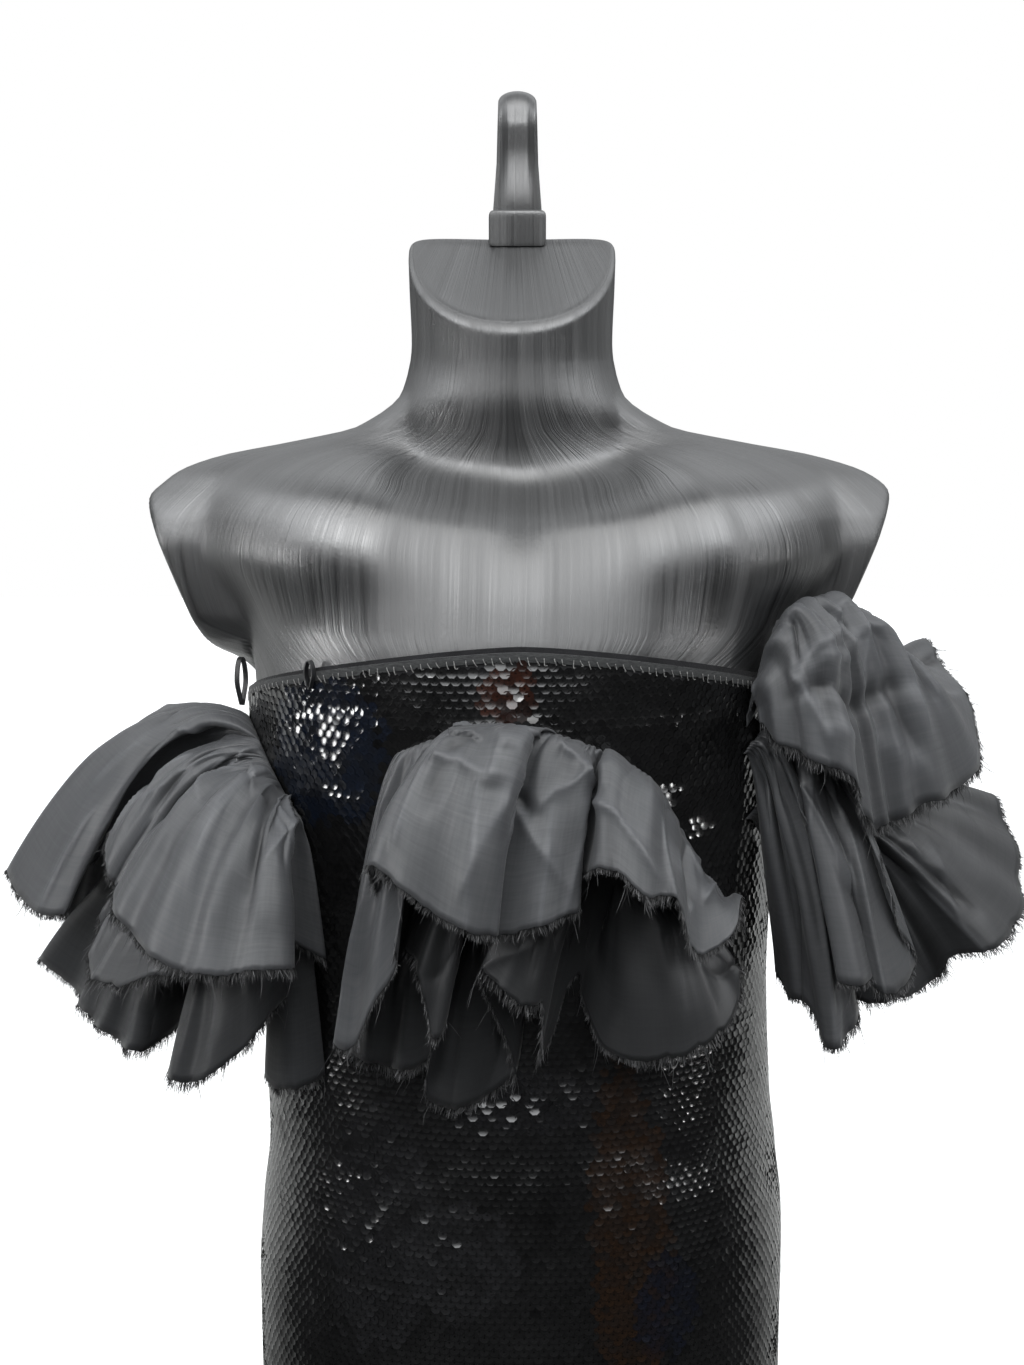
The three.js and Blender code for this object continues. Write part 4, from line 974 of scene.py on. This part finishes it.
def ribbon_loop(name, share, height, wide, tall, turn, gap, thickness=0.7, width=3.0):
    """A flat ribbon carried round an upright pointed oval: across the ribbon is square to
    the oval's plane, which is turned away from the panel."""
    cos, sin = math.cos(turn), math.sin(turn)
    centre = skin(share, height, 4.2 + gap + width / 2 * cos + wide / 2 * sin)
    along = skin(share + 0.004, height, 4.2) - skin(share - 0.004, height, 4.2)
    along[2] = 0
    along = unit(along)
    up = np.array([0, 0, 1.0])
    out = np.cross(along, up)
    along, out = along * cos + out * sin, out * cos - along * sin
    a = np.linspace(0, 2 * np.pi, 49)[:-1]
    pinch = 1 - 0.55 * step_up(-np.sin(a), -0.1, 1)
    flat = np.stack([wide / 2 * np.cos(a) * pinch, tall / 2 * np.sin(a)], -1)
    inner = flat * (1 - 2 * thickness / np.array([wide, tall]))
    rings = []
    for edge, side in ((flat, -0.5), (flat, 0.5), (inner, 0.5), (inner, -0.5)):
        rings.append(centre + edge[:, :1] * along + edge[:, 1:] * up + side * width * out)
    index = np.arange(48 * 4).reshape(48, 4)
    after = np.roll(index, -1, 0)
    faces = np.stack([index, after, np.roll(after, -1, 1), np.roll(index, -1, 1)], -1)
    across = np.array([0, 0.003, 0.003, 0])
    uv = np.stack(np.broadcast_arrays(across, a[:, None] * 0.01), -1)
    return make_piece(name, np.stack(rings, 1), [faces.reshape(-1, 4)], RIBBON, uv, crisp=50)


for side, ends in STRETCHES.items():
    share = np.linspace(*ends, 220)
    top = top_edge(share % 1)
    # The elastic stands proud of the panel, more towards the wearer's left.
    proud = top + (TAPE_RISE_LEFT + (TAPE_RISE_RIGHT - TAPE_RISE_LEFT) * (share % 1))
    tape = band(side + "_velvet", share, top - TAPE_HEIGHT, proud, TAPE_IN, TAPE_OUT, VELVET)
    settle(tape, "velvet", "top_tape_" + side)
for side, ends in STRETCHES.items():
    share = np.linspace(*ends, 220)
    top = top_edge(share % 1)
    edges = (top - BINDING_LOW, top + BINDING_HIGH)
    edge = band(side + "_binding", share, *edges, NET_OUT, BINDING_OUT, BINDING)
    bindings[side] = settle(edge, "velvet")
for seed, (side, ends) in zip((9, 10), STRETCHES.items()):
    stitches[side] = settle(zigzag(side + "_stitches", *ends, seed), "ribbon")
outer_loop = ribbon_loop("outer_ribbon_loop", 0.25, 615, 9, 27, 0.6, 0.1)
inner_loop = ribbon_loop("inner_ribbon_loop", 0.362, 630, 6, 15, 0.0, 0.5)
settle(outer_loop, "ribbon", "hanger_loop_outer")
settle(inner_loop, "ribbon", "hanger_loop_inner")

# ---------------------------------------------------------------- the ruffles


def laid_folds(across, down, table, size):
    """Sum of listed folds: each is a bell, a sharp ridge or a step over the distance
    from a straight line, faded at both ends. Returns heights in mm and how pressed it is."""
    height, pressed = 0 * across, 0 * across
    for u, v, to_u, to_v, width, rise, edge in table:
        x, y = across - u * size[0], down - v * size[1]
        ahead = np.array([(to_u - u) * size[0], (to_v - v) * size[1]])
        length = np.linalg.norm(ahead)
        run = (x * ahead[0] + y * ahead[1]) / length**2
        off = (x * ahead[1] - y * ahead[0]) / length / width
        bell = step_up(run, -0.15, 0.2) * step_up(1 - run, -0.15, 0.2)
        bell = bell * np.exp(-(np.abs(off) ** max(edge, 1)))
        height = height + rise * bell * (np.tanh(4 * off) if edge == 0 else 1)
        pressed = np.maximum(pressed, bell * (rise > 0) * (edge == 1))
    return height, pressed


def random_folds(rng, size, count, length, width, rise, edge=1):
    """A table of folds scattered over a tier, most of them running down it."""
    table = []
    for _ in range(count):
        turn, reach = math.radians(rng.normal(88, 24)), rng.uniform(*length)
        u, v = rng.uniform(0.02, 0.98), rng.uniform(0.1, 0.8)
        to_u, to_v = u + reach * math.cos(turn) / size[0], v + reach * math.sin(turn) / size[1]
        height = rng.choice([-1, 1]) * rng.uniform(*rise)
        table.append((u, v, to_u, to_v, rng.uniform(*width), height, edge))
    return table


def tier_grid(tier, seed, across=16, down=64):
    """A tier's middle surface. Each column is a quadratic curve from the seam to the hem by
    way of a point that springs up by lift; the hem is a smooth line through the table. Out
    from it stand gathers that fade away from the seam, then pleats, laid folds, crumple
    and a ragged edge."""
    rng = np.random.default_rng(seed)
    hem = np.array(tier["hem"], float)
    columns = across * (len(hem) - 1) + 1
    t = np.linspace(0, 1, columns)
    line = np.stack([hem[:, 1], -hem[:, 2], -hem[:, 3]], -1) + np.array(tier["centre"], float)
    end = smooth_line(line, t)
    spring = smooth_line(hem[:, [0, 4]], t)
    at, lift = np.clip(spring[:, 0], 0, 1)[:, None], spring[:, 1]
    p, q, r = (np.array(point, float) for point in tier["seam"])
    start = (1 - at) ** 2 * p + 2 * at * (1 - at) * q + at**2 * r
    start = clear_of_body(start, RUFFLE_OUT, True)
    middle = start * (1 - tier["reach"]) + end * tier["reach"]
    middle[:, 2] = start[:, 2] + lift
    v = np.linspace(0, 1, down)[:, None, None]
    grid = (1 - v) ** 2 * start + 2 * v * (1 - v) * middle + v**2 * end
    width = np.linalg.norm(np.diff(grid[down // 2 :], axis=1), axis=-1).sum(1).mean()
    length = np.linalg.norm(np.diff(grid, axis=0), axis=-1).sum(0).mean()
    size = (width, length)
    v = np.broadcast_to(v[..., 0], grid.shape[:2])
    x, y = np.broadcast_to(t, grid.shape[:2]) * width, v * length
    normal = grid_normals(grid)
    facing = np.sign((normal * (grid - np.array([0, -20, 560]))).sum())
    gather = np.exp(-((v / 0.22) ** 1.4)) * step_up(v, 0.0, 0.06)
    phase = x / 9 + 1.6 * rolling(x / 40, y / 60, seed)
    gathers = gather * 2.2 * (np.abs(np.sin(np.pi * phase)) ** 0.7 - 0.5)
    run = x / 26 + 0.8 * rolling(x / 70, y / 160, seed + 1)
    uneven = 0.6 + 0.6 * rolling(x / 90, 0 * y, seed + 2)
    pleats = 1.8 * np.sin(2 * np.pi * run) * step_up(v, 0.1, 0.5) * uneven
    soft = 2.4 * rolling(x / 38, y / 46, seed + 3) + 0.9 * rolling(x / 16, y / 20, seed + 4)
    scattered = random_folds(rng, size, 26, (18, 60), (1.6, 3.4), (1.2, 2.8))
    scattered += random_folds(rng, size, 14, (14, 30), (1.0, 1.8), (0.7, 1.3))
    small, pressed = laid_folds(x, y, scattered, size)
    large, firm = laid_folds(x, y, tier.get("folds", ()), size)
    away = gathers + (pleats + soft + small) * step_up(v, 0.02, 0.25) + large * step_up(v, 0, 0.05)
    grid = grid + normal * facing * away[..., None]
    ragged = rolling(x / 7, 0 * y, seed + 5) * 1.1 + rolling(x / 2.5, 0 * y, seed + 6) * 0.6
    fall = unit(np.gradient(grid, axis=0))
    grid = grid + fall * (ragged * step_up(v, 0.93, 1))[..., None]
    grid[1:] = clear_of_body(grid[1:], RUFFLE_OUT + 0.6)
    # The tint: random tone, a painted highlight along pressed creases and painted shade in the
    # troughs.
    tone_and_painted_light = 1 + 0.5 * np.maximum(pressed, firm) + 0.12 * rolling(x / 24, y / 30, seed + 7)
    tone_and_painted_light = tone_and_painted_light * (1 - 0.5 * step_up(-(large + small + 0.6 * pleats), 0.2, 3.2))
    # Then the tier's own painted shade, darkest on the lower tiers.
    tone_and_painted_light = tone_and_painted_light * tier["shade"]
    return grid, size, tone_and_painted_light, facing


def ruffle(name, tier, seed):
    """One tier as a single cut of cloth, given its wall by a Solidify modifier. Its flat
    cut is as deep as the tier, and a tenth fuller than its waves."""
    grid, size, tone_and_painted_light, facing = tier_grid(tier, seed)
    rows, columns = grid.shape[:2]
    u, v = np.meshgrid(np.linspace(0, size[0] * MM, columns), np.linspace(0, size[1] * MM, rows))
    faces = grid_faces(rows, columns)
    faces = faces if facing > 0 else faces[:, ::-1]
    # The tint carries the painted highlight and the painted shade.
    tint = np.stack([tone_and_painted_light, tone_and_painted_light, tone_and_painted_light, np.ones_like(tone_and_painted_light)], -1)
    piece = make_piece(name, grid, [faces], TAFFETA, np.stack([u, v], -1), tint)
    wall = piece.modifiers.new("wall", "SOLIDIFY")
    wall.thickness, wall.offset = RUFFLE_WALL * MM, 0.0
    cell = np.cross(np.diff(grid, axis=1)[:-1], np.diff(grid, axis=0)[:, :-1])
    area = RUFFLE_FULLNESS * np.linalg.norm(cell, axis=-1).sum()
    cut = (area / size[1], size[1])
    return piece, grid, cut


def loose_threads(name, grid, seed, density=5.0):
    """Fray along a hem: ribbons of three steps that leave it down the cloth's own fall, lean
    at random and droop. Most are short; a few in a hundred are long and stray."""
    rng = np.random.default_rng(seed)
    hem = grid[-1]
    run = np.concatenate([[0], np.cumsum(np.linalg.norm(np.diff(hem, axis=0), axis=1))])
    count = int(run[-1] * density)
    place = rng.uniform(0, run[-1], count)

    def read(rows):
        """Values along the hem, read where the threads are."""
        return np.stack([np.interp(place, run, column) for column in rows.T], -1)

    base = read(hem)
    fall, along = unit(read(grid[-1] - grid[-4])), unit(read(np.gradient(hem, axis=0)))
    out = np.cross(along, fall)
    clump = rolling(place / 4, 0 * place, seed + 1) * 0.5
    lean = (clump + rng.normal(0, 0.28, count))[:, None] * along
    ahead = unit(fall + (lean + rng.normal(0, 0.3, (count, 1)) * out))
    thick = 0.5 + 0.5 * rolling(place / 18, 0 * place, seed + 2)
    length = (2.6 + 5.4 * thick * rng.random(count) ** 0.8)[:, None]
    stray = rng.random(count) < 0.035
    length[stray] = rng.uniform(7, 17, (stray.sum(), 1))
    drop = np.array([0, 0, -1.0])
    first = base + ahead * length * 0.5 + drop * length * 0.05
    tip = base + ahead * length * 0.9 + drop * length * 0.25
    tip = tip + rng.normal(0, 0.12, (count, 3)) * length
    aside = 0.16 * unit(np.cross(ahead, rng.normal(0, 1, (count, 3))))
    root = base - ahead * 0.6
    points = np.stack([root - aside, root + aside, first + aside, first - aside, tip], 1)
    start = 5 * np.arange(count)[:, None]
    quads, tips = start + np.array([0, 1, 2, 3]), start + np.array([3, 2, 4])
    light = rng.uniform(0.5, 1, (count, 1))
    pale = np.where(rng.random((count, 1)) < 0.4, 0.34, 0.09) * light
    dark = 0.03 * light
    shade = np.stack([dark, dark, (dark + pale) / 2, (dark + pale) / 2, pale], 1)
    tint = np.concatenate([shade, shade, shade * 1.02, np.ones_like(shade)], -1)
    return make_piece(name, points, [quads, tips], FRAY, None, tint)


# Painted shade on each tier, a factor on its colour: least on the upper tiers, most on the lower
# ones, which hang under the others, and most of all on the centre's lower one.
TIER_PAINTED_SHADE = {"upper": 0.9, "middle": 0.7, "lower": 0.45}
DARKEST, DEEPEST_PAINTED_SHADE = "centre_flounce_lower", 0.6
CLOTH_SEED, CLOTH_SEED_STEP, FRAY_SEED = 40, 10, 70
for number, (name, tier) in enumerate(TIERS.items()):
    tier["folds"] = FOLDS.get(name, ())
    tier["shade"] = TIER_PAINTED_SHADE[name.split("_")[-1]] * (DEEPEST_PAINTED_SHADE if name == DARKEST else 1)
    piece, grid, size = ruffle(name + "_cloth", tier, CLOTH_SEED + CLOTH_SEED_STEP * number)
    settle(piece, "taffeta", name)
    threads = settle(loose_threads(name + "_fray", grid, FRAY_SEED + number), "taffeta")


# ---------------------------------------------------------------- floor, light and camera


def floor():
    """A wide flat square under the form, shown pale to the eye. To other rays it is painted
    shade, dark in front and paler behind, which darkens what it bounces and mirrors in front.
    """
    half = 6000
    points = [[-half, -half, 0], [half, -half, 0], [half, half, 0], [-half, half, 0]]
    f = Finish("pale_floor")
    place = f.place()
    f.set(Base_Color=f.shades(f.noise(place, 3, 2), 0.3, 0.7, (0.86, 0.86, 0.86), (0.9, 0.9, 0.9)))
    f.set(Roughness=0.9, Specular_IOR_Level=0.1)
    f.set(Emission_Color=(1, 1, 1, 1), Emission_Strength=0.35)
    seen = f.add("ShaderNodeLightPath").outputs["Is Camera Ray"]
    # Painted shade for bounce and reflections: dark in front of the form, paler behind.
    back = f.add("ShaderNodeSeparateXYZ", {0: place}).outputs[1]
    painted_bounce = f.shades(back, -0.1, 0.6, (0.02, 0.02, 0.02), (0.7, 0.7, 0.68))
    dim = f.add("ShaderNodeBsdfDiffuse", {"Color": painted_bounce}).outputs[0]
    mix = f.add("ShaderNodeMixShader", {0: seen, 1: dim, 2: f.surface.outputs[0]})
    f.join(f.nodes["Material Output"], 0, mix.outputs[0])
    make_piece("pale_floor", points, [np.array([[0, 1, 2, 3]])], f.material)


def room_light():
    """A soft room: bright high in front, behind and at the ends, dim low down, white to the
    eye. Each part's strength is a product of smooth steps over the direction looked in."""
    world = bpy.data.worlds.new("studio")
    bpy.context.scene.world = world
    world.use_nodes = True
    sky = Nodes(world.node_tree)
    sky.nodes.clear()

    def rise(value, *steps):
        return sky.ramp(value, *steps, interpolation_type="SMOOTHSTEP")

    way = sky.add("ShaderNodeTexCoord").outputs["Generated"]
    x, y, z = sky.add("ShaderNodeSeparateXYZ", {0: way}).outputs
    aside, ahead = sky.maths("ABSOLUTE", x), sky.times(y, -1)
    wall = sky.times(rise(z, 0.27, 0.52, 0, 3.3), rise(z, 0.50, 0.95, 1, 0.12))
    wall = sky.times(wall, rise(x, -0.6, 0.4, 0.8, 1))
    wall = sky.times(wall, rise(ahead, -0.2, 0.5, 0, 1))
    ends = sky.times(rise(aside, 0.35, 0.9, 0, 1.8), rise(z, 0.24, 0.55, 0.02, 1))
    behind = sky.times(rise(y, 0.1, 0.9, 0, 1.4), rise(z, 0.1, 0.8, 0.1, 1))
    top = rise(z, 0.6, 0.95, 0.03, 0.5)
    total = sky.plus(sky.plus(wall, ends), sky.plus(top, behind))
    room = sky.add("ShaderNodeBackground", {0: (0.96, 0.98, 1.0, 1.0), 1: total})
    plain = sky.add("ShaderNodeBackground", {0: (1.0, 1.0, 1.0, 1.0), 1: 1.0})
    seen = sky.add("ShaderNodeLightPath").outputs["Is Camera Ray"]
    mix = sky.add("ShaderNodeMixShader", {0: seen, 1: room.outputs[0], 2: plain.outputs[0]})
    sky.add("ShaderNodeOutputWorld", {0: mix.outputs[0]})


def soft_box(name, place, aim, size, watts, colour=(1, 1, 1), fan=180):
    """A rectangular lamp at a place, turned to face its aim; fan is how wide it shines."""
    lamp = bpy.data.lights.new(name, "AREA")
    lamp.shape, lamp.size, lamp.size_y = "RECTANGLE", *size
    lamp.energy, lamp.color, lamp.spread = watts, colour, math.radians(fan)
    holder = bpy.data.objects.new(name, lamp)
    holder.location = place
    way = Vector(aim) - Vector(place)
    holder.rotation_euler = way.to_track_quat("-Z", "Y").to_euler()
    bpy.context.scene.collection.objects.link(holder)


def eye():
    """The camera: a metre from a point at chest height, tipped nine degrees down."""
    data = bpy.data.cameras.new("eye")
    data.lens, data.sensor_width = 46.76, 36
    data.clip_start, data.clip_end = 0.01, 50
    holder = bpy.data.objects.new("eye", data)
    tip = math.radians(9)
    aim = Vector((-0.001, 0.0, 0.65 * cad_box[1].z))
    holder.location = aim + Vector((0, -math.cos(tip), math.sin(tip)))
    holder.rotation_euler = (math.pi / 2 - tip, 0, 0)
    bpy.context.scene.collection.objects.link(holder)
    bpy.context.scene.camera = holder


floor()
room_light()
soft_box("window", (-0.80, -1.25, 1.60), (0, 0, 0.6), (0.5, 0.4), 3.5)
soft_box("side_window", (-1.36, -0.42, 0.70), (-0.1, -0.1, 0.56), (0.3, 0.36), 0.11, fan=24)
soft_box("doorway", (1.45, -0.75, 0.72), (0.05, -0.1, 0.55), (0.16, 0.26), 0.03, fan=20)
soft_box("ceiling_panel", (0.10, -1.05, 2.05), (0, 0, 0.6), (1.8, 1.0), 6, (1.0, 0.99, 0.96))
eye()
bpy.context.scene.view_settings.view_transform = "Standard"

bpy.context.view_layer.update()
